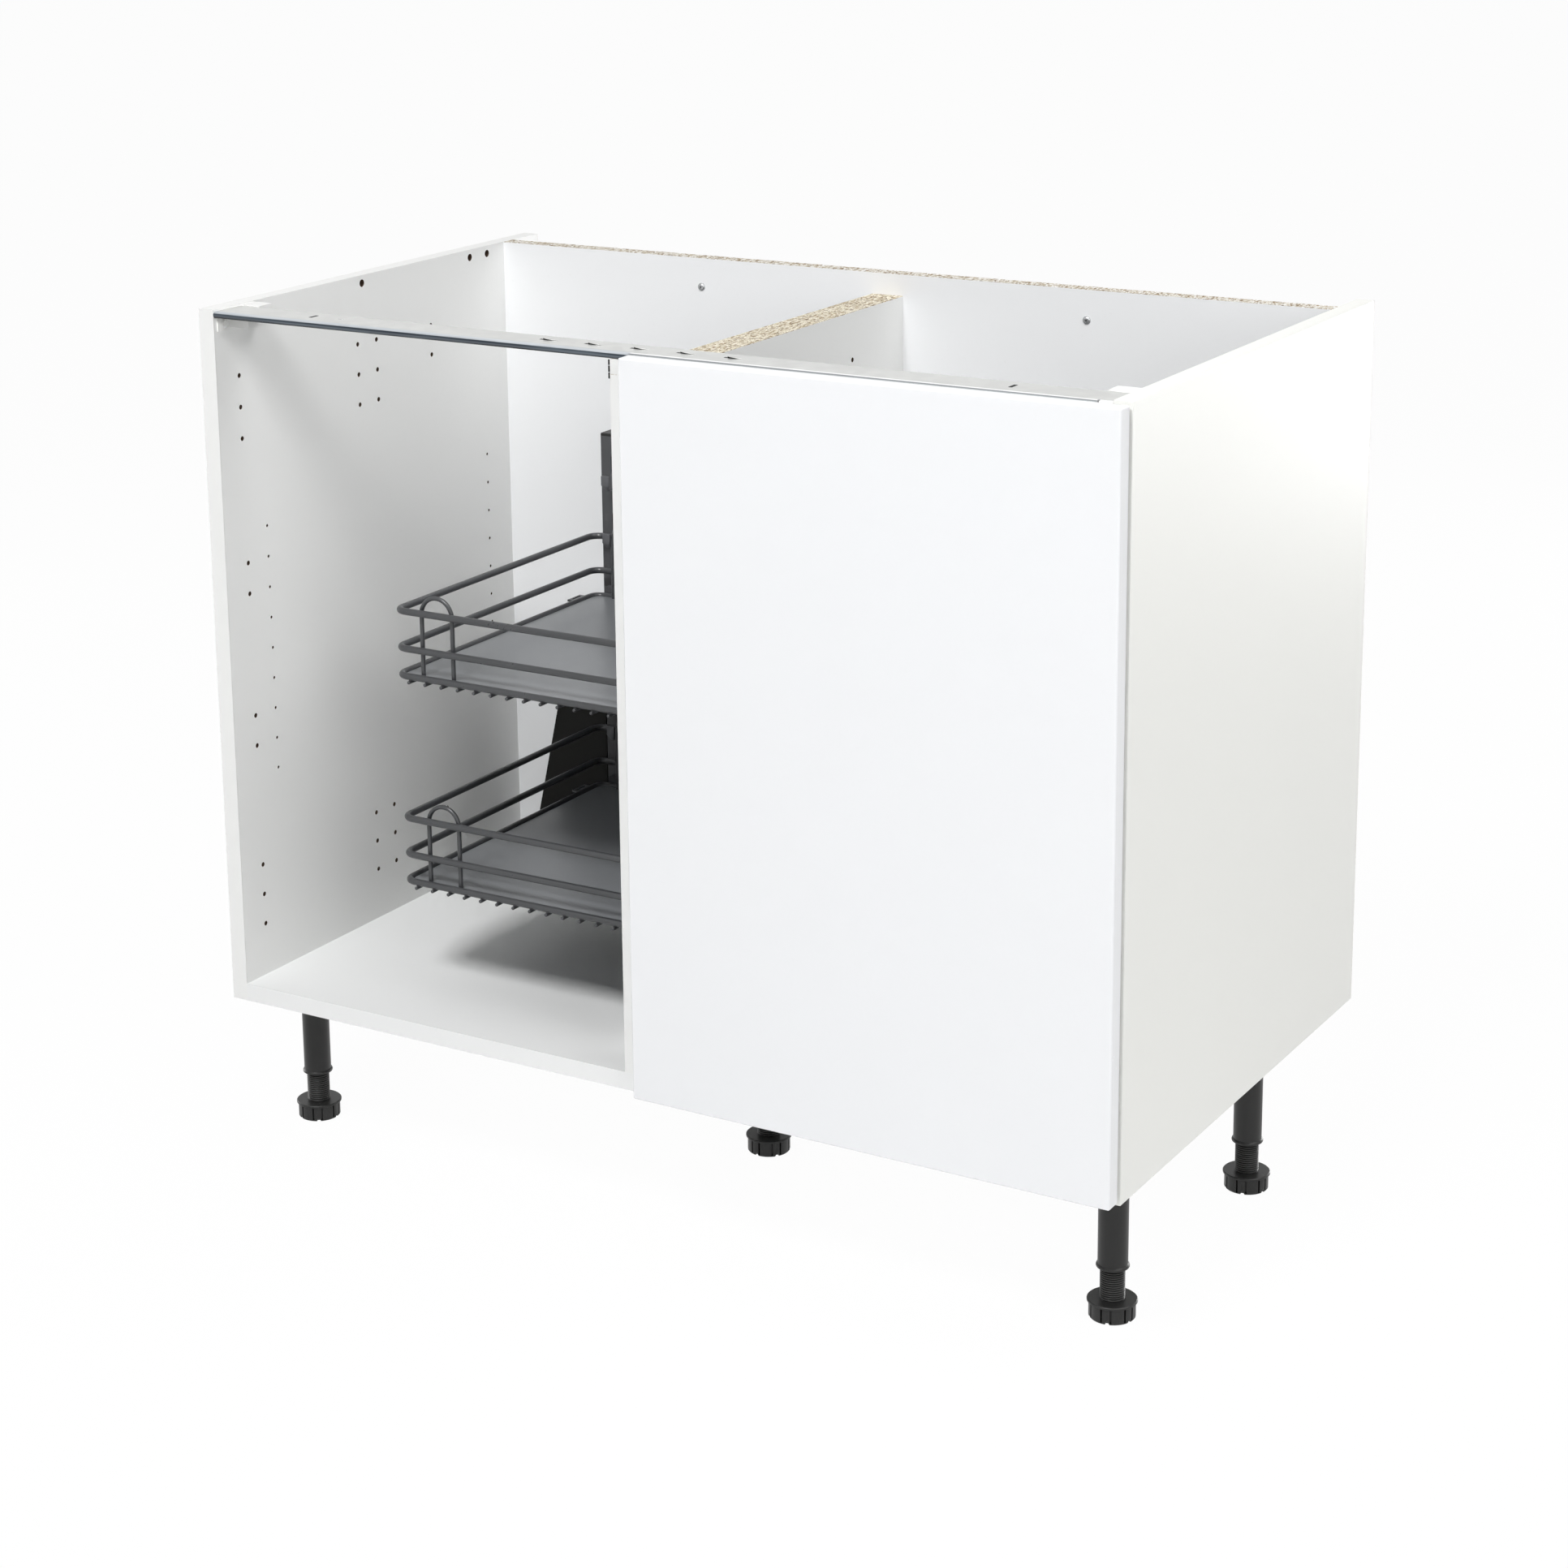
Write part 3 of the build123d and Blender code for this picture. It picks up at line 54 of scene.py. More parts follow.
def clearAll():
    if bpy.context.object and bpy.context.object.mode != "OBJECT":
        bpy.ops.object.mode_set(mode="OBJECT")
    bpy.ops.object.select_all(action="DESELECT")


def done():
    # back from edit mode
    bpy.ops.object.mode_set(mode="OBJECT")


def pick(*objects):
    # selects these alone, the first of them active
    clearAll()
    for obj in objects:
        obj.select_set(True)
    bpy.context.view_layer.objects.active = objects[0]


def joined(pieces, name):
    pick(*pieces)
    if len(pieces) > 1:
        bpy.ops.object.join()
    pieces[0].name = name
    return pieces[0]


def twinOf(obj):
    twin = obj.copy()
    twin.data = obj.data.copy()
    bpy.context.scene.collection.objects.link(twin)
    return twin


def settle(obj):
    # puts the object's place, turn and size into its mesh
    pick(obj)
    bpy.ops.object.transform_apply(location=True, rotation=True, scale=True)
    return obj


def addBlock(name, low, high):
    clearAll()
    middle = [(a + b) / 2 for a, b in zip(low, high)]
    size = [b - a for a, b in zip(low, high)]
    bpy.ops.mesh.primitive_cube_add(size=1, location=middle, scale=size)
    bpy.context.object.name = name
    return settle(bpy.context.object)


def addRound(name, centre, radius, depth, sides):
    clearAll()
    bpy.ops.mesh.primitive_cylinder_add(vertices=sides, radius=radius, depth=depth, location=centre)
    bpy.context.object.name = name
    return settle(bpy.context.object)


def edit(obj, mode="FACE"):
    pick(obj)
    bpy.ops.object.mode_set(mode="EDIT")
    bpy.ops.mesh.select_mode(type=mode)
    bpy.ops.mesh.select_all(action="DESELECT")
    done()


def pickAll(obj):
    edit(obj)
    bpy.ops.object.mode_set(mode="EDIT")
    bpy.ops.mesh.select_all(action="SELECT")


def pickFaces(obj, test):
    edit(obj, "FACE")
    for face in obj.data.polygons:
        face.select = bool(test(face.center, face.normal))
    bpy.ops.object.mode_set(mode="EDIT")


def pickEdges(obj, test):
    edit(obj, "EDGE")
    points = obj.data.vertices
    for edge in obj.data.edges:
        a, b = (points[i].co for i in edge.vertices)
        edge.select = bool(test(a, b))
    bpy.ops.object.mode_set(mode="EDIT")


def pickPoints(obj, test):
    edit(obj, "VERT")
    for point in obj.data.vertices:
        point.select = bool(test(point.co))
    bpy.ops.object.mode_set(mode="EDIT")


def apply(obj, kind, **settings):
    pick(obj)
    mod = obj.modifiers.new(kind.lower(), kind)
    for key, value in settings.items():
        setattr(mod, key, value)
    bpy.ops.object.modifier_apply(modifier=mod.name)
    return obj


def bevelAll(obj, width, segments=2, angle=40):
    apply(obj, "BEVEL", width=width, segments=segments, limit_method="ANGLE", angle_limit=math.radians(angle))
    return smooth(obj)


def smooth(obj, angle=40):
    pick(obj)
    bpy.ops.object.shade_smooth_by_angle(angle=math.radians(angle))
    return obj


def copyTo(obj, moves, name, turns=None):
    # one mesh per copy, then all of them joined into one piece
    copies = []
    for i, move in enumerate(moves):
        twin = twinOf(obj)
        turn = turns[i] if turns else Matrix.Identity(4)
        twin.data.transform(Matrix.Translation(move) @ turn)
        copies.append(twin)
    whole = joined(copies, name)
    bpy.data.objects.remove(obj)
    return whole


def endFace(obj, up=True):
    # picks the flat end of a round piece and leaves it selected in edit mode
    heights = [point.co.z for point in obj.data.vertices]
    end = max(heights) if up else min(heights)
    pickFaces(obj, lambda c, n: abs(c.z - end) < 1e-5 and abs(n.z) > 0.9)


def turnUp(obj, radius, steps, up=True):
    # grows the end face step by step, as on a lathe; each step is a rise and a new radius in mm
    endFace(obj, up)
    for rise, wide in steps:
        rise, wide = rise * mm, wide * mm
        move = (0, 0, rise if up else -rise)
        bpy.ops.mesh.extrude_region_move(TRANSFORM_OT_translate={"value": move})
        bpy.ops.transform.resize(value=(wide / radius, wide / radius, 1), center_override=(0, 0, 0))
        radius = wide
    done()
    return obj


def carve(obj, cutter):
    apply(obj, "BOOLEAN", operation="DIFFERENCE", object=cutter, solver="EXACT")
    bpy.data.objects.remove(cutter)
    return obj


# ---- shader helpers

class Wire:
    # a socket that works in Python sums
    def __init__(self, paint, socket):
        self.paint, self.socket = paint, socket

    def sum(self, how, a, b=0.0):
        return self.paint.add("Math", {"operation": how}, {0: a, 1: b})

    def __add__(self, other):
        return self.sum("ADD", self, other)

    def __radd__(self, other):
        return self.sum("ADD", other, self)

    def __sub__(self, other):
        return self.sum("SUBTRACT", self, other)

    def __rsub__(self, other):
        return self.sum("SUBTRACT", other, self)

    def __mul__(self, other):
        return self.sum("MULTIPLY", self, other)

    def __gt__(self, other):
        return self.sum("GREATER_THAN", self, other)

    def __lt__(self, other):
        return self.sum("LESS_THAN", self, other)

    def __abs__(self):
        return self.sum("ABSOLUTE", self)

    def __pow__(self, other):
        return self.sum("POWER", self, other)

    def most(self, other):
        return self.sum("MAXIMUM", self, other)


class Paint:
    def __init__(self, name, **constants):
        self.material = bpy.data.materials.new(name)
        self.material.use_nodes = True
        self.tree = self.material.node_tree
        self.shader = self.tree.nodes["Principled BSDF"]
        for key, value in constants.items():
            self.shader.inputs[key.replace("_", " ")].default_value = value
        self.place = self.add("TexCoord", out="Object")
        split = self.tree.nodes.new("ShaderNodeSeparateXYZ")
        self.tree.links.new(self.place.socket, split.inputs[0])
        self.x, self.y, self.z = (Wire(self, out) for out in split.outputs)

    def add(self, kind, settings=None, inputs=None, out=0):
        node = self.tree.nodes.new("ShaderNode" + kind)
        for key, value in (settings or {}).items():
            if key == "stops":
                ramp = node.color_ramp
                while len(ramp.elements) < len(value):
                    ramp.elements.new(0.5)
                for stop, (at, colour) in zip(ramp.elements, value):
                    stop.position = at
                    stop.color = (*colour, 1)
            else:
                setattr(node, key, value)
        for key, value in (inputs or {}).items():
            if isinstance(value, Wire):
                self.tree.links.new(value.socket, node.inputs[key])
            elif value is not None:
                node.inputs[key].default_value = value
        return Wire(self, node.outputs[out])

    def set(self, name, value):
        if isinstance(value, Wire):
            self.tree.links.new(value.socket, self.shader.inputs[name])
        else:
            self.shader.inputs[name].default_value = value

    def stretched(self, x, y, z):
        return self.add("VectorMath", {"operation": "MULTIPLY"}, {0: self.place, 1: (x, y, z)})

    def noise(self, scale, detail=3.0, rough=0.5, where=None):
        return self.add("TexNoise", {}, {"Vector": where or self.place, "Scale": scale, "Detail": detail,
                                         "Roughness": rough})

    def cells(self, scale, where=None, feature="F1", out="Distance"):
        inputs = {"Vector": where or self.place, "Scale": scale}
        return self.add("TexVoronoi", {"feature": feature}, inputs, out)

    def ramp(self, value, *stops):
        return self.add("ValToRGB", {"stops": stops}, {"Fac": value})

    def mix(self, share, a, b):
        return self.add("Mix", {"data_type": "RGBA"}, {0: share, 6: self.colour(a), 7: self.colour(b)}, 2)

    def colour(self, value):
        return value if isinstance(value, Wire) else (*value, 1)

    def between(self, value, low, high):
        return (value > low) * (value < high)

    def fade(self, value, low, high):
        # 0 at low, 1 at high
        return self.add("MapRange", {"interpolation_type": "SMOOTHSTEP"},
                        {"Value": value, "From Min": low, "From Max": high, "To Min": 0.0, "To Max": 1.0})

    def bump(self, height, strength, distance):
        return self.add("Bump", {}, {"Height": height, "Strength": strength, "Distance": distance})


# ---- finishes

board = {"colour": (0.868, 0.871, 0.859), "shade": (0.850, 0.853, 0.843), "seam": (0.56, 0.55, 0.52),
         "seamLine": (front + 0.9 * mm, front + 1.18 * mm), "chip": 600,
         "hole": (0.045, 0.030, 0.020), "holeLight": (0.13, 0.075, 0.045)}
# where the side panels' bores lie, and the one bore in the top beam
bores = {"side": (panelFace + 0.3 * mm, 0.4996), "y": (front + 2 * mm, 0.288), "z": (0.152, 0.868)}
beamBore = {"y": 0.1170, "z": 0.7988, "radius": 2.8 * mm, "x": (0.004, 0.0179)}


def chipboard(paint, tint):
    # pressed chips: long pale flakes, brown ones among them, pores between
    spread = paint.stretched(1.0, 0.50, 1.6)
    warp = paint.noise(300, 4.0, 0.65)
    chips = paint.cells(board["chip"], where=spread, out="Color")
    tone = paint.add("RGBToBW", {}, {0: chips}) * 0.8 + warp * 0.2
    stops = ((0.20, (0.13, 0.08, 0.04)), (0.31, (0.35, 0.26, 0.16)), (0.40, (0.62, 0.56, 0.45)),
             (0.52, (0.81, 0.79, 0.72)), (0.76, (0.96, 0.95, 0.93)))
    colour = paint.ramp(tone, *((at, [c * k for c, k in zip(chip, tint)]) for at, chip in stops))
    pores = paint.fade(paint.cells(board["chip"] * 0.8, where=spread, feature="DISTANCE_TO_EDGE"), 0.0, 0.07)
    return paint.mix(pores, (0.34, 0.27, 0.18), colour), tone * 0.6 + pores * 0.4


def boardPaint(name, raw=None, bored=False, drilled=False, seam=True, tint=(1, 1, 1), chipTint=(1, 1, 1)):
    paint = Paint(name, Specular_IOR_Level=0.42)
    # tint is a painted colour cast of the light on this panel, not a colour of the board
    face, shade = ([c * k for c, k in zip(board[key], tint)] for key in ("colour", "shade"))
    cloud = paint.noise(3.1, 2.0, 0.5)
    pearl = paint.noise(900, 2.0, 0.6)
    colour = paint.mix(cloud, face, shade)
    speck = paint.noise(240, 1.0, 0.5)
    colour = paint.mix(paint.fade(speck, 0.70, 0.80) * 0.05, colour, (0.55, 0.54, 0.50))
    # the drilled holes' walls are raw chipboard; their dark colour is painted shade
    hole = None
    if bored:
        hole = paint.between(abs(paint.x), *bores["side"])
        hole = hole * paint.between(paint.y, *bores["y"]) * paint.between(paint.z, *bores["z"])
    if drilled:
        away = (abs(paint.y - beamBore["y"]) ** 2 + abs(paint.z - beamBore["z"]) ** 2) ** 0.5
        hole = (away < beamBore["radius"]) * paint.between(paint.x, *beamBore["x"])
    if seam:
        line = paint.between(paint.y, *board["seamLine"])
        worn = paint.fade(paint.noise(60, 3.0), 0.30, 0.62) * 0.55 + 0.25
        colour = paint.mix(line * worn, colour, board["seam"])
    height = pearl * 0.6 + paint.noise(55, 2.0) * 0.4
    rough = 0.40 + cloud * 0.08 + pearl * 0.05
    if raw:
        axis, limit = raw
        bare = getattr(paint, axis) > limit
        chips, relief = chipboard(paint, chipTint)
        colour = paint.mix(bare, colour, chips)
        rough = rough + bare * 0.4
        height = height * (1 - bare) + relief * bare * 3.0
    if hole is not None:
        # painted shade inside the holes, mottled a little
        colour = paint.mix(hole, colour, paint.mix(pearl, board["hole"], board["holeLight"]))
        rough = rough + hole * 0.4
    paint.set("Base Color", colour)
    paint.set("Roughness", rough)
    paint.set("Normal", paint.bump(height, 0.05, 0.15 * mm))
    return paint.material


def doorPaint():
    paint = Paint("doorLacquer", Specular_IOR_Level=0.42, Coat_Roughness=0.03, Coat_IOR=1.5)
    cloud = paint.noise(1.8, 2.0)
    peel = paint.noise(190, 2.0, 0.5)
    dust = paint.fade(paint.noise(420, 1.0), 0.74, 0.80)
    colour = paint.mix(cloud, (0.846, 0.856, 0.872), (0.832, 0.842, 0.859))
    paint.set("Base Color", paint.mix(dust * 0.06, colour, (0.60, 0.60, 0.58)))
    paint.set("Roughness", 0.16 + cloud * 0.05 + dust * 0.10)
    paint.set("Coat Weight", 0.5 - dust * 0.2)
    paint.set("Normal", paint.bump(peel, 0.035, 0.1 * mm))
    return paint.material


rail = {"plate": 0.8675, "seam": (front + 6.2 * mm, front + 6.9 * mm), "bead": 6.4 * mm,
        "beadBack": front + 6.0 * mm, "beadLow": 0.8612, "beadZero": 0.8616,
        "rearLip": (front + 41.6 * mm, front + 41.9 * mm),
        "tabTop": 0.8620, "tabFront": front + 4.5 * mm, "tabDepth": 3 * mm}


def railPaint():
    # galvanised strip: spangle and rolling lines; along its front the bead carries a painted reflection with
    # a painted highlight, dark beside the door and bright where the door stands before it
    paint = Paint("galvanisedRail", Metallic=1.0)
    spangle = paint.cells(95, out="Color")
    tone = paint.add("RGBToBW", {}, {0: spangle})
    lines = paint.noise(1.0, 4.0, 0.6, where=paint.stretched(5, 900, 900))
    colour = paint.mix(tone * 0.5 + lines * 0.35, (0.555, 0.56, 0.55), (0.685, 0.69, 0.675))
    # 1 where the door stands before the bead: there its painted reflection is bright, elsewhere dark
    doorInBeadReflection = paint.fade(paint.x + (railTop - paint.z) * 1.2, 0.0, 4 * mm)
    # painted shade along the crease where the plate meets the bead, fainter where the door stands before it
    seam = paint.between(paint.y, *rail["seam"]) * (paint.z > rail["plate"])
    colour = paint.mix(seam * (0.55 - doorInBeadReflection * 0.45), colour, (0.30, 0.31, 0.31))
    edge = paint.fade(paint.y, *rail["rearLip"])
    colour = paint.mix(edge * 0.4, colour, (0.36, 0.36, 0.35))
    # the bead's colour is painted light: height bands of a dark painted reflection, with a painted highlight
    # near its top
    onBead = (paint.y < rail["beadBack"]) * (paint.z > rail["beadLow"])
    rise = (paint.z - rail["beadZero"]) * (1 / rail["bead"])
    streak = paint.noise(1.0, 5.0, 0.7, where=paint.stretched(16, 1100, 1100))
    rise = rise + (streak - 0.5) * 0.10
    dark = paint.ramp(rise, (0.10, (0.006, 0.0065, 0.007)), (0.22, (0.055, 0.062, 0.070)),
                      (0.42, (0.120, 0.133, 0.150)), (0.58, (0.055, 0.066, 0.080)),
                      (0.74, (0.018, 0.024, 0.032)), (0.84, (0.46, 0.49, 0.52)), (1.0, (0.62, 0.65, 0.68)))
    # where the door stands before it: depth bands of the door's bright painted reflection, with a painted
    # highlight
    depth = (paint.y - front) * (1 / rail["bead"]) + (streak - 0.5) * 0.06
    bright = paint.ramp(depth, (0.06, (0.30, 0.315, 0.32)), (0.24, (0.25, 0.265, 0.275)),
                        (0.36, (0.36, 0.38, 0.39)), (0.44, (0.98, 0.98, 0.98)),
                        (0.92, (0.96, 0.97, 0.97)), (0.98, (0.66, 0.67, 0.67)))
    # blue-grey patches in the bead's dark painted reflection
    reflectionPatches = paint.fade(paint.noise(1.0, 4.0, 0.6, where=paint.stretched(9, 260, 260)), 0.42, 0.70)
    dark = paint.mix(reflectionPatches * 0.28, dark, (0.24, 0.29, 0.33))
    colour = paint.mix(onBead, colour, paint.mix(doorInBeadReflection, dark, bright))
    # the screw tabs at its ends are dull and pale
    tab = (abs(paint.x) > panelFace - rail["tabDepth"]) * (paint.y > rail["tabFront"])
    tab = tab * (paint.z < rail["tabTop"])
    paint.set("Base Color", paint.mix(tab, colour, (0.84, 0.84, 0.82)))
    paint.set("Metallic", 1 - tab)
    paint.set("Roughness", 0.32 + tone * 0.10 + lines * 0.10)
    paint.set("Normal", paint.bump(lines * 0.7 + tone * 0.3, 0.10, 0.05 * mm))
    return paint.material


def trackPaint():
    paint = Paint("galvanisedTrack", Metallic=1.0)
    spangle = paint.add("RGBToBW", {}, {0: paint.cells(120, out="Color")})
    lines = paint.noise(1.0, 4.0, 0.6, where=paint.stretched(5, 700, 700))
    worn = paint.between(paint.z, cabinetFloor + 1.2 * mm, cabinetFloor + 2.4 * mm)
    colour = paint.mix(spangle * 0.5 + lines * 0.3, (0.50, 0.51, 0.51), (0.74, 0.74, 0.73))
    paint.set("Base Color", paint.mix(worn * 0.6, colour, (0.80, 0.80, 0.79)))
    paint.set("Roughness", 0.42 + spangle * 0.12 - worn * 0.14)
    paint.set("Normal", paint.bump(lines, 0.10, 0.05 * mm))
    return paint.material


def metalPaint(name, dark, light, rough, scale=140):
    paint = Paint(name, Metallic=1.0)
    patch = paint.noise(scale, 3.0, 0.6)
    lines = paint.noise(1.0, 4.0, 0.6, where=paint.stretched(600, 600, 600))
    paint.set("Base Color", paint.mix(patch * 0.6 + lines * 0.4, dark, light))
    paint.set("Roughness", rough + patch * 0.12)
    paint.set("Normal", paint.bump(lines, 0.08, 0.04 * mm))
    return paint.material


def coatedPaint(name, base, light, rough, grain, strength, gloss=0.5):
    # powder coat: fine orange peel, slightly polished in patches, a little paler where it wears
    paint = Paint(name, Specular_IOR_Level=gloss)
    peel = paint.noise(grain, 2.0, 0.55)
    patch = paint.noise(11, 3.0, 0.5)
    rub = paint.fade(paint.noise(70, 4.0, 0.7), 0.56, 0.78)
    colour = paint.mix(patch, base, light)
    paint.set("Base Color", paint.mix(rub * 0.25, colour, tuple(min(1, 1.7 * c) for c in light)))
    paint.set("Roughness", rough + patch * 0.08 - rub * 0.06 + peel * 0.04)
    paint.set("Normal", paint.bump(peel, strength, 0.12 * mm))
    return paint.material


def plasticPaint(name, base, light, rough, grain=500, strength=0.12, gloss=0.45, scuffs=0.22, thread=None):
    paint = Paint(name, Specular_IOR_Level=gloss)
    fine = paint.noise(grain, 2.0, 0.5)
    patch = paint.noise(26, 3.0, 0.5)
    scuff = paint.fade(paint.noise(1.0, 5.0, 0.7, where=paint.stretched(160, 160, 34)), 0.60, 0.82)
    colour = paint.mix(patch * 0.7 + fine * 0.3, base, light)
    colour = paint.mix(scuff * scuffs, colour, tuple(min(1, c * 1.8 + 0.01) for c in light))
    if thread:
        # painted shade in the roots between the thread's ridges, and a painted highlight on their crests
        low, high, pitch = thread
        turn = paint.add("Math", {"operation": "FRACT"}, {0: (paint.z - low) * (1 / pitch) + 0.07})
        root = paint.fade(abs(turn - 0.5), 0.28, 0.42) * paint.between(paint.z, low, high)
        crestHighlight = paint.fade(abs(turn - 0.5), 0.12, 0.04) * paint.between(paint.z, low, high)
        colour = paint.mix(root, colour, tuple(c * 0.12 for c in base))
        colour = paint.mix(crestHighlight, colour, tuple(c * 4.0 for c in light))
    paint.set("Base Color", colour)
    paint.set("Roughness", rough + patch * 0.10 + scuff * 0.08)
    paint.set("Normal", paint.bump(fine, strength, 0.08 * mm))
    return paint.material


def dowelPaint():
    paint = Paint("beechDowel")
    grain = paint.noise(1.0, 5.0, 0.6, where=paint.stretched(40, 300, 300))
    fleck = paint.fade(paint.noise(1.0, 2.0, 0.5, where=paint.stretched(180, 900, 900)), 0.62, 0.72)
    colour = paint.mix(grain, (0.55, 0.37, 0.21), (0.76, 0.58, 0.38))
    paint.set("Base Color", paint.mix(fleck * 0.5, colour, (0.38, 0.22, 0.11)))
    paint.set("Roughness", 0.62 + grain * 0.15)
    paint.set("Normal", paint.bump(grain, 0.2, 0.2 * mm))
    return paint.material


finishes = {
    "sideLeft": boardPaint("facedBoardLeft", raw=rawEdge["side"], bored=True),
    # the right side, the bottom and the back differ from the left side only by painted colour casts of the
    # light
    "sideRight": boardPaint("facedBoardRight", raw=rawEdge["side"], bored=True, tint=(1.0, 1.0, 0.975)),
    "bottomPanel": boardPaint("facedBoardBottom", raw=rawEdge["bottom"], tint=(0.995, 1.0, 1.01)),
    "backPanel": boardPaint("facedBoardBack", raw=rawEdge["back"], seam=False, tint=(1.0, 1.005, 1.03)),
    "topBeam": boardPaint("facedBoardBeam", raw=rawEdge["head"], seam=False, drilled=True,
                          chipTint=(0.95, 0.915, 0.82)),
    "packer": boardPaint("facedBoardPacker"),
    "stile": boardPaint("facedBoardStile", raw=rawEdge["head"]),
    "door": doorPaint(),
    "rail": railPaint(),
    "track": trackPaint(),
    "zinc": metalPaint("zincPlate", (0.52, 0.52, 0.50), (0.74, 0.73, 0.70), 0.26),
    "brightZinc": metalPaint("brightZincScrew", (0.88, 0.88, 0.87), (0.97, 0.97, 0.96), 0.20, 90),
    "darkSteel": metalPaint("darkSteelAndScrewReflection", (0.22, 0.225, 0.23), (0.66, 0.67, 0.68), 0.22, 420),
    "nickel": metalPaint("nickelPlate", (0.55, 0.54, 0.52), (0.74, 0.73, 0.70), 0.26, 90),
    "wire": coatedPaint("greyCoatedWire", (0.036, 0.038, 0.041), (0.053, 0.055, 0.059), 0.25, 1100, 0.08,
                        0.6),
    "post": coatedPaint("greyCoatedPost", (0.062, 0.063, 0.067), (0.080, 0.082, 0.087), 0.42, 900, 0.16),
    # the hooks' coat is the posts' coat made lighter: painted light on the hooks and the post tongues
    "hook": coatedPaint("greyCoatedHookPaintedLight", (0.100, 0.103, 0.110), (0.125, 0.129, 0.137), 0.34, 900, 0.12),
    "tower": coatedPaint("blackCoatedPlate", (0.0055, 0.0055, 0.005), (0.009, 0.009, 0.008), 0.52, 900,
                         0.14, 0.22),
    "tray": plasticPaint("greyTray", (0.158, 0.165, 0.175), (0.184, 0.192, 0.203), 0.26, 260, 0.03, 0.95,
                         0.04),
    "legs": plasticPaint("blackPlastic", (0.012, 0.012, 0.012), (0.022, 0.022, 0.021), 0.36, 520, 0.12, 0.36),
    "foot": plasticPaint("blackFoot", (0.011, 0.011, 0.011), (0.020, 0.020, 0.019), 0.38, 520, 0.12, 0.36,
                         thread=(18.3 * mm, 48.0 * mm, 2.2 * mm)),
    "recess": plasticPaint("blackRecess", (0.006, 0.006, 0.006), (0.011, 0.011, 0.011), 0.60, 600, 0.20, 0.2),
    "whitePlastic": plasticPaint("whitePlastic", (0.80, 0.80, 0.79), (0.88, 0.88, 0.87), 0.32, 420, 0.05),
    "dowel": dowelPaint(),
}
wear = {
    "side_panel_left": "sideLeft", "side_panel_right": "sideRight", "bottom_panel": "bottomPanel",
    "back_panel": "backPanel", "top_beam": "topBeam", "stile": "stile", "door": "door", "front_rail": "rail",
    "track_front": "track", "track_rear": "track", "tower_plate": "tower", "carriage_base": "tower",
    "post_sleeves": "tower", "post_left": "post", "post_right": "post", "rack_hooks": "post",
    "basket_rests": "post", "basket_tabs": "wire", "post_caps": "legs", "stile_bracket": "whitePlastic",
    "carcass_screws": "brightZinc",
}
bySlot = {"zinc": "zinc", "nickel": "nickel", "grey_coated_steel": "wire", "black_coated_steel": "tower",
          "black_plastic": "legs", "grey_tray": "tray", "white_plastic": "whitePlastic", "beech": "dowel",
          "galvanised": "track", "white_board": "backPanel", "door_lacquer": "door"}
for part in frame["record"]["subparts"]:
    obj = nodes[part["node"]]
    finish = finishes[wear.get(part["node"], bySlot[part["material_slot"]])]
    obj.data.materials.clear()
    obj.data.materials.append(finish)
print("finishes laid on", len(nodes), "nodes")


def dress(obj, finish, body):
    obj.data.materials.clear()
    obj.data.materials.append(finishes[finish])
    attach(obj, body)
    return obj


# ---- rail: a pressed tongue over the right half of each slot

slots = {"first": -0.105, "pitch": 0.050, "count": 5, "y": front + 0.025, "end": 0.377,
         "floor": (6.2 * mm, 1.9 * mm, 0.3 * mm), "sunk": 0.26 * mm, "edge": 0.1 * mm,
         "dash": ((-0.3465, -1.1 * mm, -0.2 * mm), (-0.3415, 1.1 * mm, 0.15 * mm))}
# the tongue's shape has one row per section along x: from and to in mm, share of the width and of the lift
tongue = {"start": -1.6 * mm, "length": 13.0 * mm, "width": 5.4 * mm, "thick": 0.5 * mm, "lift": 1.3 * mm,
          "folds": (3.2 * mm, 7.5 * mm), "edge": 0.15 * mm, "gapThick": 0.35 * mm, "gapShare": 0.94,
          "shape": ((-2, 0, 0.55, 1.0), (2, 4, 1.0, 0.8), (7, 8, 0.72, 0.35), (12, 14, 0.08, 0.0))}


def slotRow(lift, back=0.0):
    s = slots
    return [Vector((s["first"] + i * s["pitch"] - back, s["y"], railTop + lift)) for i in range(s["count"])]


def railTongue(thick, wide):
    piece = addBlock("tongue", (tongue["start"], -wide / 2, 0), (tongue["length"], wide / 2, thick))
    for at in tongue["folds"]:
        pickAll(piece)
        bpy.ops.mesh.bisect(plane_co=(at, 0, 0), plane_no=(1, 0, 0))
        done()
    # widest near its raised end, drawn to a point where it leaves the plate
    for low, high, narrow, rise in tongue["shape"]:
        pickPoints(piece, lambda p: low * mm < p.x < high * mm)
        bpy.ops.transform.resize(value=(1, narrow, 1), center_override=(0, 0, 0))
        bpy.ops.transform.translate(value=(0, 0, tongue["lift"] * rise))
        done()
    return piece


def railTongues():
    lifted = bevelAll(railTongue(tongue["thick"], tongue["width"]), tongue["edge"], 2, 30)
    dress(copyTo(lifted, slotRow(-0.02 * mm), "railTongues"), "rail", "carcass")
    # the cut edges under each tongue lie in shade: a thin black sheet there is painted shade
    gap = railTongue(tongue["gapThick"], tongue["width"] * tongue["gapShare"])
    pickFaces(gap, lambda c, n: n.z < -0.5)
    bpy.ops.transform.resize(value=(1, 1, 0), center_override=(0, 0, 0))
    done()
    row = slotRow(-0.07 * mm, 0.2 * mm)
    dress(copyTo(gap, row, "railTongueGaps"), "recess", "carcass")


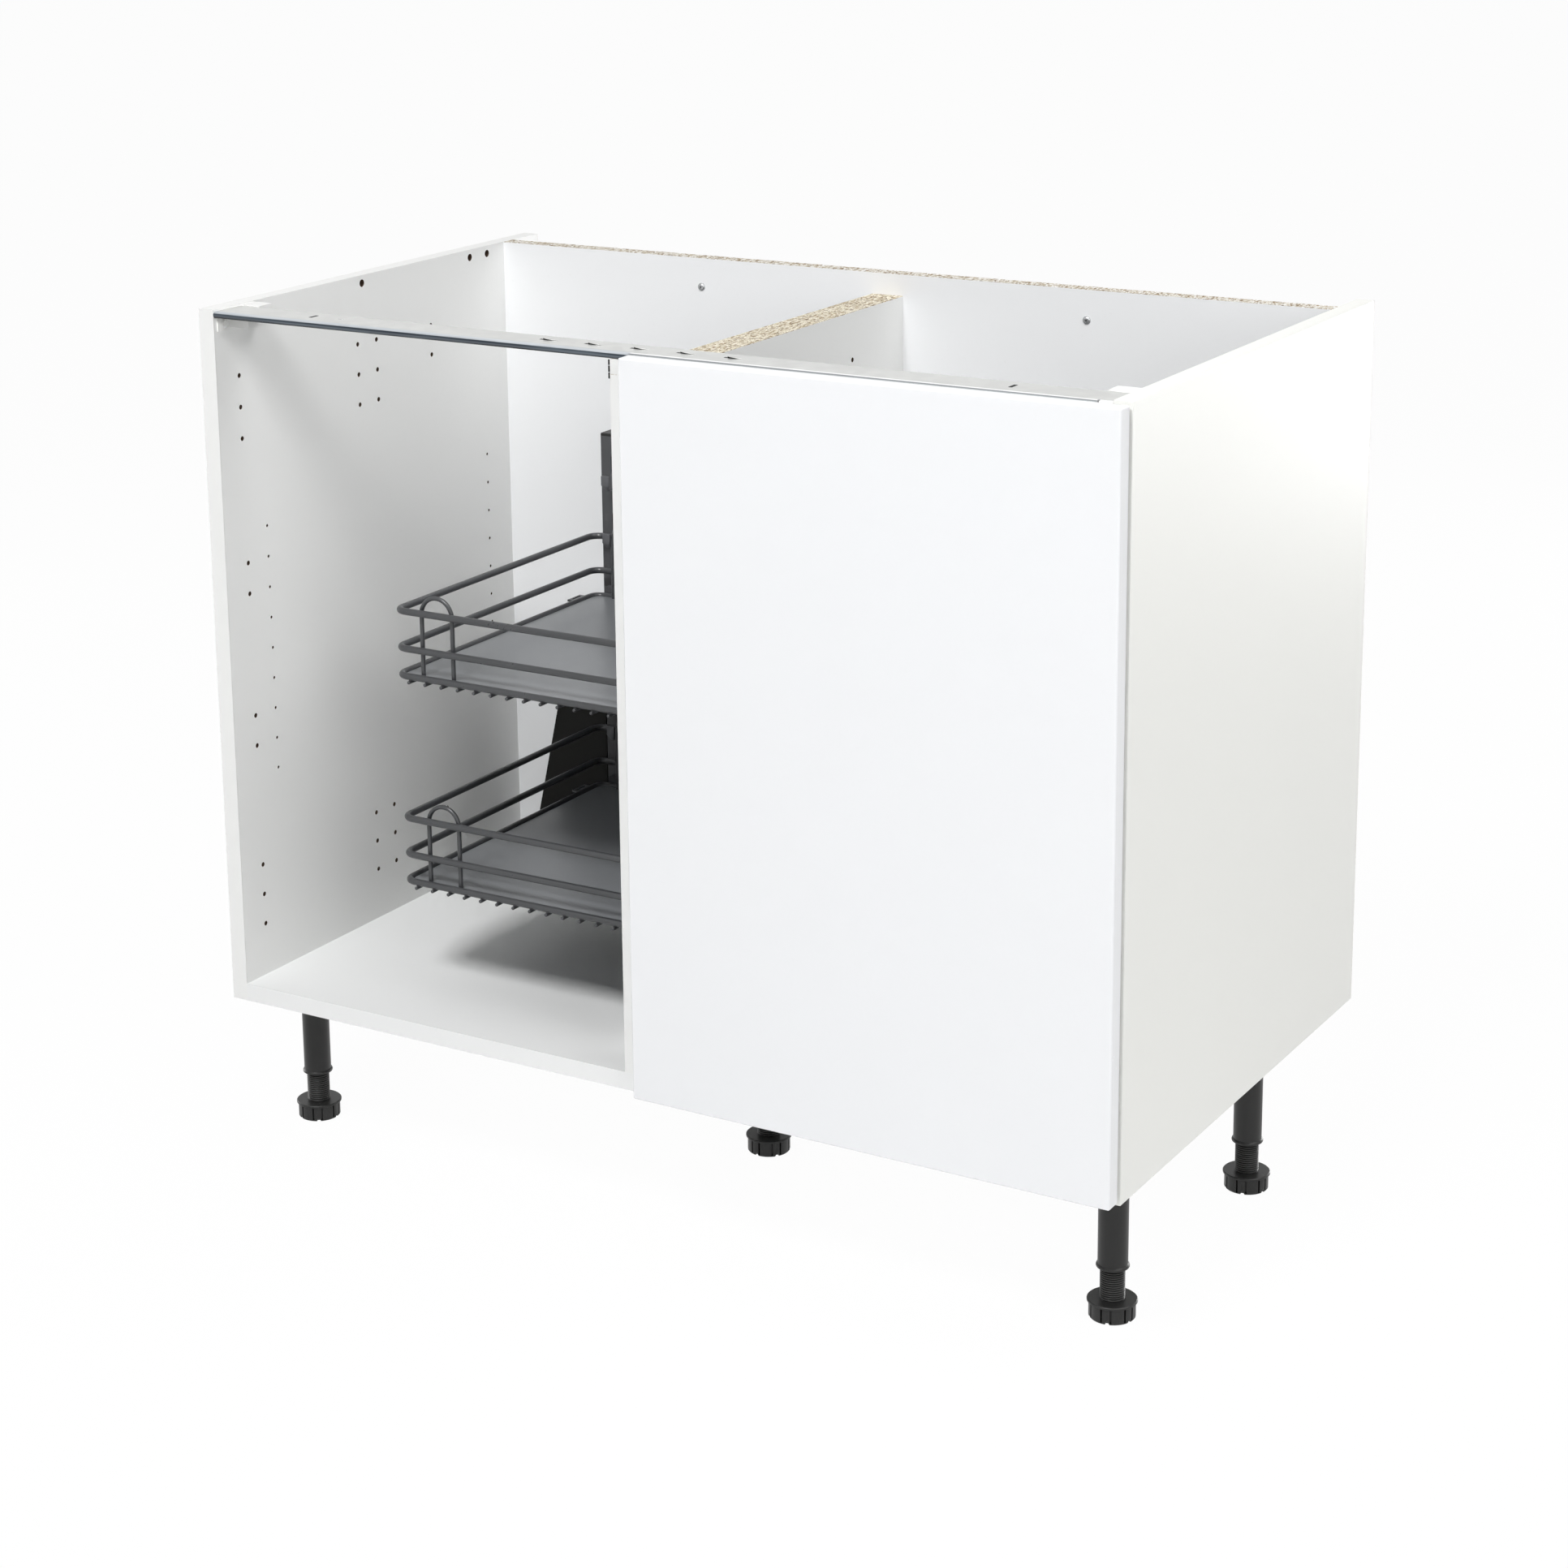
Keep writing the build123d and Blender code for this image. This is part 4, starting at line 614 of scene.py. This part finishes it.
def railRecesses():
    # the sunk floor of each slot, black: painted shade
    s = slots
    x, y, z = s["floor"]
    along = bevelAll(addBlock("recess", (-x, -y, 0), (x, y, z)), s["edge"], 1)
    cross = twinOf(along)
    dress(copyTo(along, slotRow(-s["sunk"]), "railSlotFloors"), "recess", "carcass")
    quarter = Matrix.Rotation(math.pi / 2, 4, "Z")
    ends = [Vector((side * s["end"], s["y"], railTop - s["sunk"])) for side in (-1, 1)]
    dress(copyTo(cross, ends, "railEndSlotFloors", [quarter, quarter]), "recess", "carcass")
    dash = addBlock("railDash", *((x, s["y"] + y, railTop + z) for x, y, z in s["dash"]))
    dress(bevelAll(dash, s["edge"], 1), "darkSteel", "carcass")


railTongues()
railRecesses()
print("rail slots pressed")


# ---- stile: the packer under the rail with its dark strip; rail: the white nose at its right end

packer = {"half": 18.0 * mm, "low": 0.8475, "frontTop": 0.8608, "rearTop": 0.8645, "depth": 50 * mm,
          "fold": 8 * mm, "edge": 0.25 * mm}
clip = {"heights": ((0.8432, 0.8488), (0.8493, 0.8552), (0.8557, 0.8608)), "x": (-19.9 * mm, -18.02 * mm),
        "y": (front + 0.1 * mm, front + 1.2 * mm), "edge": 0.15 * mm}
nose = {"low": (0.4684, front + 0.2 * mm, 0.8535), "high": (0.4818, front + 6.4 * mm, 0.8682),
        "edge": 0.8 * mm}
endTab = {"low": (0.4662, front + 0.4 * mm, 0.8560), "high": (0.4676, front + 5.4 * mm, 0.8684),
          "edge": 0.3 * mm}


def stileHead():
    p = packer
    head = addBlock("stilePacker", (-p["half"], front, p["low"]),
                    (p["half"], front + p["depth"], p["rearTop"]))
    pickAll(head)
    bpy.ops.mesh.bisect(plane_co=(0, front + p["fold"], 0), plane_no=(0, 1, 0))
    done()
    # its top slopes down to the front
    pickPoints(head, lambda v: v.z > p["rearTop"] - mm and v.y < front + mm)
    bpy.ops.transform.translate(value=(0, 0, p["frontTop"] - p["rearTop"]))
    done()
    dress(bevelAll(head, p["edge"], 2, 35), "packer", "carcass")


def stileClip():
    # thin dark strip beside the packer, nicked twice
    left, right = clip["x"]
    near, far = clip["y"]
    parts = [bevelAll(addBlock("clip", (left, near, low), (right, far, high)), clip["edge"], 2)
             for low, high in clip["heights"]]
    dress(joined(parts, "stileClip"), "recess", "carcass")


def blockNose():
    block = bevelAll(addBlock("blockNose", nose["low"], nose["high"]), nose["edge"], 3)
    dress(block, "whitePlastic", "carcass")
    tab = bevelAll(addBlock("beadEndTab", endTab["low"], endTab["high"]), endTab["edge"], 2)
    dress(tab, "darkSteel", "carcass")


stileHead()
stileClip()
blockNose()
print("stile packer and block nose fitted")


# ---- screws near the top of the back panel: pan heads with a cross recess

backScrew = {"places": ((-0.2255, 0.839), (0.2255, 0.839)), "face": 0.224, "turns": (0.4, 1.1),
             "radius": 4.2 * mm, "rim": 0.6 * mm, "dome": ((0.6, 4.0), (0.6, 3.4), (0.35, 2.6), (0.2, 1.2)),
             "cross": (3.4 * mm, 1.0 * mm), "crossFloor": 1.2 * mm, "crossTop": 4 * mm, "taper": 0.6,
             "shade": 1.75 * mm}


def backScrews():
    s = backScrew
    head = addRound("head", (0, 0, s["rim"] / 2), s["radius"], s["rim"], sides=28)
    turnUp(head, s["radius"], s["dome"])
    for long, wide in (s["cross"], s["cross"][::-1]):
        bar = addBlock("bar", (-long / 2, -wide / 2, s["crossFloor"]), (long / 2, wide / 2, s["crossTop"]))
        pickFaces(bar, lambda c, n: n.z < -0.9)
        bpy.ops.transform.resize(value=(s["taper"], s["taper"], 1), center_override=(0, 0, s["crossFloor"]))
        done()
        carve(head, bar)
    smooth(head, 35)
    facing = Matrix.Rotation(math.pi / 2, 4, "X")
    turns = [facing @ Matrix.Rotation(turn, 4, "Z") for turn in s["turns"]]
    moves = [Vector((x, s["face"], z)) for x, z in s["places"]]
    heads = copyTo(head, moves, "backScrewHeads", turns)
    # the heads' dark steel is a painted dark reflection on bright heads
    dress(heads, "darkSteel", "carcass")
    # the recess is painted darker than the head: painted shade
    heads.data.materials.append(finishes["recess"])
    for face in heads.data.polygons:
        x, z = min(s["places"], key=lambda p: abs(p[0] - face.center.x))
        away = math.hypot(face.center.x - x, face.center.z - z)
        if away < s["shade"] and face.center.y > s["face"] - s["shade"]:
            face.material_index = 1
    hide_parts("back_panel_screws")


backScrews()
print("back screws turned")


# ---- legs: tube with a bead at its end, threaded foot with a slotted skirt

# tubeEnd, discEdge, ridge and skirtFoot are profiles: each step is a rise and a radius in mm
leg = {"places": {"foot_front_left": (-0.458, -0.191), "foot_front_right": (0.458, -0.191),
                  "foot_rear_left": (-0.458, 0.125), "foot_rear_right": (0.458, 0.125),
                  "foot_middle": (0.0, -0.033)},
       "sides": 60, "tube": 14.0 * mm, "end": 48.0 * mm, "top": 145.9 * mm, "boreDepth": 70 * mm,
       "tubeEnd": ((0.5, 14.5), (0.5, 15.2), (0.7, 15.5), (0.9, 15.5), (0.7, 15.1), (0.5, 14.3), (0.1, 13.6),
                   (0.6, 13.4), (0.1, 12.1)),
       "flareFrom": 0.144, "flareOver": 13 * mm, "flare": 1.005,
       "skirt": 21.7 * mm, "ground": 1 * mm, "discTop": 17.8 * mm, "discHeight": 2.6 * mm,
       "discEdge": ((0, 23.0), (0.4, 23.4), (1.5, 23.4), (0.7, 22.6), (0, 11.4), (0.5, 10.6)),
       "root": 10.6 * mm, "turns": 31,
       "ridge": ((0.45, 11.45), (0.3, 11.7), (0.4, 11.7), (0.3, 11.45), (0.45, 10.6), (0.3, 10.6)),
       "skirtFoot": ((1.0, 20.8), (0, 17.5))}
# the skirt repeats after a sector of ten sides: two slots, and a notch between them
skirt = {"sector": 10, "slots": (2, 6), "inset": 0.25 * mm, "depth": 2.6 * mm, "from": 1.2 * mm,
         "to": 14 * mm, "over": 20 * mm, "notchAt": 4.5, "notchHalf": 0.6, "notch": 3.4 * mm,
         "notchBelow": 1.5 * mm, "notchOver": 17 * mm}
sideStep = 2 * math.pi / leg["sides"]


def legTubes():
    g = leg
    low = g["end"] + sum(rise for rise, wide in g["tubeEnd"]) * mm
    tube = addRound("tube", (0, 0, (g["top"] + low) / 2), g["tube"], g["top"] - low, sides=g["sides"])
    turnUp(tube, g["tube"], g["tubeEnd"], up=False)
    endFace(tube, up=False)
    bpy.ops.mesh.extrude_region_move(TRANSFORM_OT_translate={"value": (0, 0, g["boreDepth"])})
    done()
    # the tube narrows a hair towards its end, as a moulding does
    pickPoints(tube, lambda p: p.z > g["flareFrom"] and math.hypot(p.x, p.y) > g["flareOver"])
    bpy.ops.transform.resize(value=(g["flare"], g["flare"], 1), center_override=(0, 0, 0))
    done()
    smooth(tube, 32)
    tubes = copyTo(tube, [Vector((x, y, 0)) for x, y in g["places"].values()], "legTubes")
    dress(tubes, "legs", "carcass")
    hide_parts("leg_tubes")


def footPiece():
    g = leg
    skirtTop = g["discTop"] - g["discHeight"]
    foot = addRound("foot", (0, 0, (skirtTop + g["ground"]) / 2), g["skirt"], skirtTop - g["ground"],
                    sides=g["sides"])
    turnUp(foot, g["skirt"], g["discEdge"])
    turnUp(foot, g["root"], g["ridge"] * g["turns"])
    turnUp(foot, g["skirt"], g["skirtFoot"], up=False)
    return foot


def inSlot(c, n):
    upright = abs(n.z) < 0.1 and math.hypot(c.x, c.y) > skirt["over"]
    if not (upright and skirt["from"] < c.z < skirt["to"]):
        return False
    return math.floor(math.atan2(c.y, c.x) / sideStep) % skirt["sector"] in skirt["slots"]


def inNotch(p):
    if not (p.z < skirt["notchBelow"] and math.hypot(p.x, p.y) > skirt["notchOver"]):
        return False
    return (math.atan2(p.y, p.x) / sideStep - skirt["notchAt"]) % skirt["sector"] < skirt["notchHalf"]


def feet():
    foot = footPiece()
    pickFaces(foot, inSlot)
    bpy.ops.mesh.inset(thickness=skirt["inset"], use_individual=True)
    bpy.ops.mesh.extrude_faces_move(MESH_OT_extrude_faces_indiv={},
                                    TRANSFORM_OT_shrink_fatten={"value": -skirt["depth"]})
    done()
    pickPoints(foot, inNotch)
    bpy.ops.transform.translate(value=(0, 0, skirt["notch"]))
    done()
    smooth(foot, 28)
    for node, (x, y) in leg["places"].items():
        # each foot is turned a little differently
        twin = twinOf(foot)
        turn = Matrix.Rotation(math.radians(-6 + 40 * x), 4, "Z")
        twin.data.transform(Matrix.Translation((x, y, 0)) @ turn)
        twin.name = "threaded_" + node
        dress(twin, "foot", node)
        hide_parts(node)
    bpy.data.objects.remove(foot)


legTubes()
feet()
print("legs and feet turned")


# ---- hooks on the posts, and the pressed tongue above each

# the curl's rows are a move in mm and a share of the width
hook = {"middles": (-0.167 - 0.1445, -0.167 + 0.1445), "face": 0.180, "rails": (0.567, 0.350),
        "pitch": 64 * mm, "half": 4.8 * mm, "lip": 0.1605, "thick": 2.2 * mm,
        "heights": (-5.5 * mm, 4.6 * mm), "edge": 0.45 * mm,
        "curl": (((0, 1.0, -2.6), 0.74), ((0, 2.2, -3.4), 0.52), ((0, 4.6, -1.4), 0.55),
                 ((0, 12.1, 2.2), 2.4))}
hookBack = {"wider": (0.6 * mm, 3.5 * mm), "thick": 1.6 * mm, "heights": (-13 * mm, 4.2 * mm),
            "corner": 2 * mm, "edge": 0.35 * mm}
flap = {"wider": (-0.7 * mm, 2.3 * mm), "thick": 1.1 * mm, "heights": (3.8 * mm, 21.9 * mm), "out": 0.7 * mm,
        "corner": 2.2 * mm, "edge": 0.25 * mm}
flapShade = {"wider": (0.6 * mm, 2.4 * mm), "depth": (-0.25 * mm, 0.1 * mm), "heights": (5.0 * mm, 23.2 * mm)}


def behindHook(name, sizes, near, far):
    # an upright plate on the post's face, wider than the hook by a little on each side
    left, right = sizes["wider"]
    low, high = sizes["heights"]
    return addBlock(name, (-hook["half"] - left, hook["face"] + near, low),
                    (hook["half"] + right, hook["face"] + far, high))


def roundTop(piece, radius, segments):
    high = max(point.co.z for point in piece.data.vertices)
    pickEdges(piece, lambda a, b: min(a.z, b.z) > high - mm and abs(a.x - b.x) < 1e-6)
    bpy.ops.mesh.bevel(offset=radius, segments=segments, affect="EDGES")
    done()


def hookPiece():
    h = hook
    low, high = h["heights"]
    piece = addBlock("hook", (-h["half"], h["lip"] - h["thick"], low), (h["half"], h["lip"], high))
    # the lip narrows and curls back under the rail to the post
    pickFaces(piece, lambda c, n: n.z < -0.9)
    for move, narrow in h["curl"]:
        move = [value * mm for value in move]
        bpy.ops.mesh.extrude_region_move(TRANSFORM_OT_translate={"value": move})
        bpy.ops.transform.resize(value=(narrow, 1, 1), center_override=(h["half"] * 0.35, 0, 0))
    done()
    bevelAll(piece, h["edge"], 2, 35)
    back = behindHook("back", hookBack, -hookBack["thick"], 0)
    roundTop(back, hookBack["corner"], 3)
    bevelAll(back, hookBack["edge"], 2, 35)
    return joined([piece, back], "hook")


def hookSpots():
    h = hook
    return [Vector((middle, 0, rail + lift)) for middle in h["middles"] for rail in h["rails"]
            for lift in (0, h["pitch"])]


def hooks():
    pieces = copyTo(hookPiece(), hookSpots(), "rackHooks")
    # the hooks wear the lighter coat: painted light
    dress(pieces, "hook", "rack")
    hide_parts("rack_hooks")


def postTongues():
    # a black sheet behind each flap, a little larger: painted shade along the flap's edges
    shade = behindHook("shade", flapShade, *flapShade["depth"])
    lifted = behindHook("flap", flap, -flap["thick"], 0)
    for piece in (shade, lifted):
        roundTop(piece, flap["corner"], 4)
    # the flap's lower end stands further out
    pickFaces(lifted, lambda c, n: n.z < -0.9)
    bpy.ops.transform.translate(value=(0, -flap["out"], 0))
    done()
    bevelAll(lifted, flap["edge"], 2, 35)
    dress(copyTo(shade, hookSpots(), "postTongueGaps"), "recess", "rack")
    # the flaps wear the hooks' lighter coat: painted light
    dress(copyTo(lifted, hookSpots(), "postTongues"), "hook", "rack")


hooks()
postTongues()
print("hooks bent and post tongues pressed")


# ---- welds where loops and cross wires meet the rails

basket = {"x": -0.167, "width": 0.330, "frontY": front + 0.078, "rearY": front + 0.436, "rail": 3.5 * mm,
          "archInset": 0.028, "archWidth": 0.037, "rises": (0.0, 0.0285, 0.067),
          "bottoms": {"upper": 0.500, "lower": 0.283}, "wires": 16, "wireInset": 0.016,
          "loopWeld": (2.9 * mm, 1.5 * mm, 2.0 * mm), "wireWeld": (2.1 * mm, 2.3 * mm, 0.9 * mm)}


def weldBlob(size):
    clearAll()
    bpy.ops.mesh.primitive_uv_sphere_add(segments=10, ring_count=6, radius=1, scale=size)
    blob = settle(bpy.context.object)
    pickPoints(blob, lambda p: p.z > 0.6 * size[2])
    bpy.ops.transform.resize(value=(1.25, 1.1, 0.8))
    done()
    return smooth(blob, 80)


def loopSpots(bottom):
    b = basket
    spots = []
    for side in (-1, 1):
        middle = b["x"] + side * (b["width"] / 2 - b["archInset"] - b["archWidth"] / 2)
        for x in (middle - b["archWidth"] / 2, middle + b["archWidth"] / 2):
            for y in (b["frontY"] + b["rail"], b["rearY"] - b["rail"]):
                spots += [Vector((x, y, bottom + rise)) for rise in b["rises"]]
    return spots


def wireSpots(bottom):
    b = basket
    first = b["x"] - b["width"] / 2 + b["wireInset"]
    pitch = (b["width"] - 2 * b["wireInset"]) / (b["wires"] - 1)
    return [Vector((first + i * pitch, y, bottom - b["rail"])) for i in range(b["wires"])
            for y in (b["frontY"], b["rearY"])]


for level, bottom in basket["bottoms"].items():
    loops = copyTo(weldBlob(basket["loopWeld"]), loopSpots(bottom), level + "LoopWelds")
    dress(loops, "wire", "rack")
    under = copyTo(weldBlob(basket["wireWeld"]), wireSpots(bottom), level + "WireWelds")
    dress(under, "wire", "rack")
print("baskets welded")


# ---- stage, light and camera

stage = {"floor": (0.90, 0.90, 0.90), "sky": 0.07, "glow": 1.0, "share": 0.97}


def stagePaint(name):
    paint = Paint(name, Roughness=0.9, Specular_IOR_Level=0.1)
    cloud = paint.noise(1.5, 2.0)
    paint.set("Base Color", paint.mix(cloud, stage["floor"], tuple(c * 0.995 for c in stage["floor"])))
    path = paint.tree.nodes.new("ShaderNodeLightPath")
    camera, gloss, through = (Wire(paint, path.outputs[n]) for n in
                              ("Is Camera Ray", "Is Glossy Ray", "Is Transmission Ray"))
    glow = paint.add("Emission", {}, {"Color": (1, 1, 1, 1), "Strength": stage["glow"]})
    share = camera.most(gloss).most(through) * stage["share"]
    mixed = paint.add("MixShader", {}, {0: share, 1: Wire(paint, paint.shader.outputs[0]), 2: glow})
    paint.tree.links.new(mixed.socket, paint.tree.nodes["Material Output"].inputs["Surface"])
    return paint.material


clearAll()
bpy.ops.mesh.primitive_plane_add(size=90, location=(0, 0, 0))
ground = settle(bpy.context.object)
ground.name = "studioFloor"
ground.data.materials.append(stagePaint("studioFloorPaint"))

world = bpy.data.worlds.new("studio")
bpy.context.scene.world = world
world.use_nodes = True
sky = world.node_tree
path = sky.nodes.new("ShaderNodeLightPath")
# white where it is seen or mirrored, and dim as a light
seen = path.outputs["Is Camera Ray"]
for kind in ("Is Glossy Ray", "Is Transmission Ray"):
    either = sky.nodes.new("ShaderNodeMath")
    either.operation = "MAXIMUM"
    sky.links.new(seen, either.inputs[0])
    sky.links.new(path.outputs[kind], either.inputs[1])
    seen = either.outputs[0]
strength = sky.nodes.new("ShaderNodeMapRange")
strength.inputs["To Min"].default_value = stage["sky"]
strength.inputs["To Max"].default_value = stage["glow"]
sky.links.new(seen, strength.inputs["Value"])
sky.links.new(strength.outputs[0], sky.nodes["Background"].inputs["Strength"])
sky.nodes["Background"].inputs["Color"].default_value = (1, 1, 1, 1)

lamps = {
    "softboxKey": {"at": (0.1, -2.9, 4.0), "look": (0, 0, 0.5), "size": 1.1, "watts": 152},
    "softboxRight": {"at": (3.1, -1.7, 1.9), "look": (0, 0, 0.5), "size": 1.8, "watts": 37},
    "softboxTop": {"at": (-0.1, -0.4, 3.8), "look": (0, 0, 0.5), "size": 1.6, "watts": 5},
    "softboxBack": {"at": (1.0, 3.3, 0.36), "look": (0, 0, 0.5), "size": 0.85, "watts": 40},
    "softboxLeft": {"at": (-3.3, 0.1, 0.36), "look": (0, 0, 0.5), "size": 0.85, "watts": 40},
    "softboxRear": {"at": (1.8, 0.3, 3.2), "look": (-0.2, 0, 0.5), "size": 1.6, "watts": 33},
}
for name, lamp in lamps.items():
    data = bpy.data.lights.new(name, "AREA")
    data.shape = "SQUARE"
    data.size = lamp["size"]
    data.energy = lamp["watts"]
    obj = bpy.data.objects.new(name, data)
    bpy.context.scene.collection.objects.link(obj)
    obj.location = lamp["at"]
    obj.rotation_euler = (Vector(lamp["look"]) - Vector(lamp["at"])).to_track_quat("-Z", "Y").to_euler()

view = {"focal": 4048, "centre": (897, 650), "turn": 31.46, "fall": 13.58, "roll": -0.77,
        "place": (1.6034, -2.7180, 1.4114), "frame": 1932}
turn, fall, roll = (math.radians(view[k]) for k in ("turn", "fall", "roll"))
ahead = Vector((-math.sin(turn) * math.cos(fall), math.cos(turn) * math.cos(fall), -math.sin(fall)))
level = Vector((math.cos(turn), math.sin(turn), 0))
rise = level.cross(ahead)
across = level * math.cos(roll) + rise * math.sin(roll)
up = rise * math.cos(roll) - level * math.sin(roll)
camera = bpy.data.objects.new("camera", bpy.data.cameras.new("camera"))
bpy.context.scene.collection.objects.link(camera)
camera.matrix_world = Matrix((
    (across.x, up.x, -ahead.x, view["place"][0]),
    (across.y, up.y, -ahead.y, view["place"][1]),
    (across.z, up.z, -ahead.z, view["place"][2]),
    (0, 0, 0, 1)))
camera.data.sensor_width = 36
camera.data.lens = view["focal"] * 36 / view["frame"]
camera.data.shift_x = (view["frame"] / 2 - view["centre"][0]) / view["frame"]
camera.data.shift_y = (view["centre"][1] - view["frame"] / 2) / view["frame"]
camera.data.clip_start, camera.data.clip_end = 0.05, 100
bpy.context.scene.camera = camera
bpy.context.scene.view_settings.view_transform = "Standard"
print("stage, lamps and camera set")
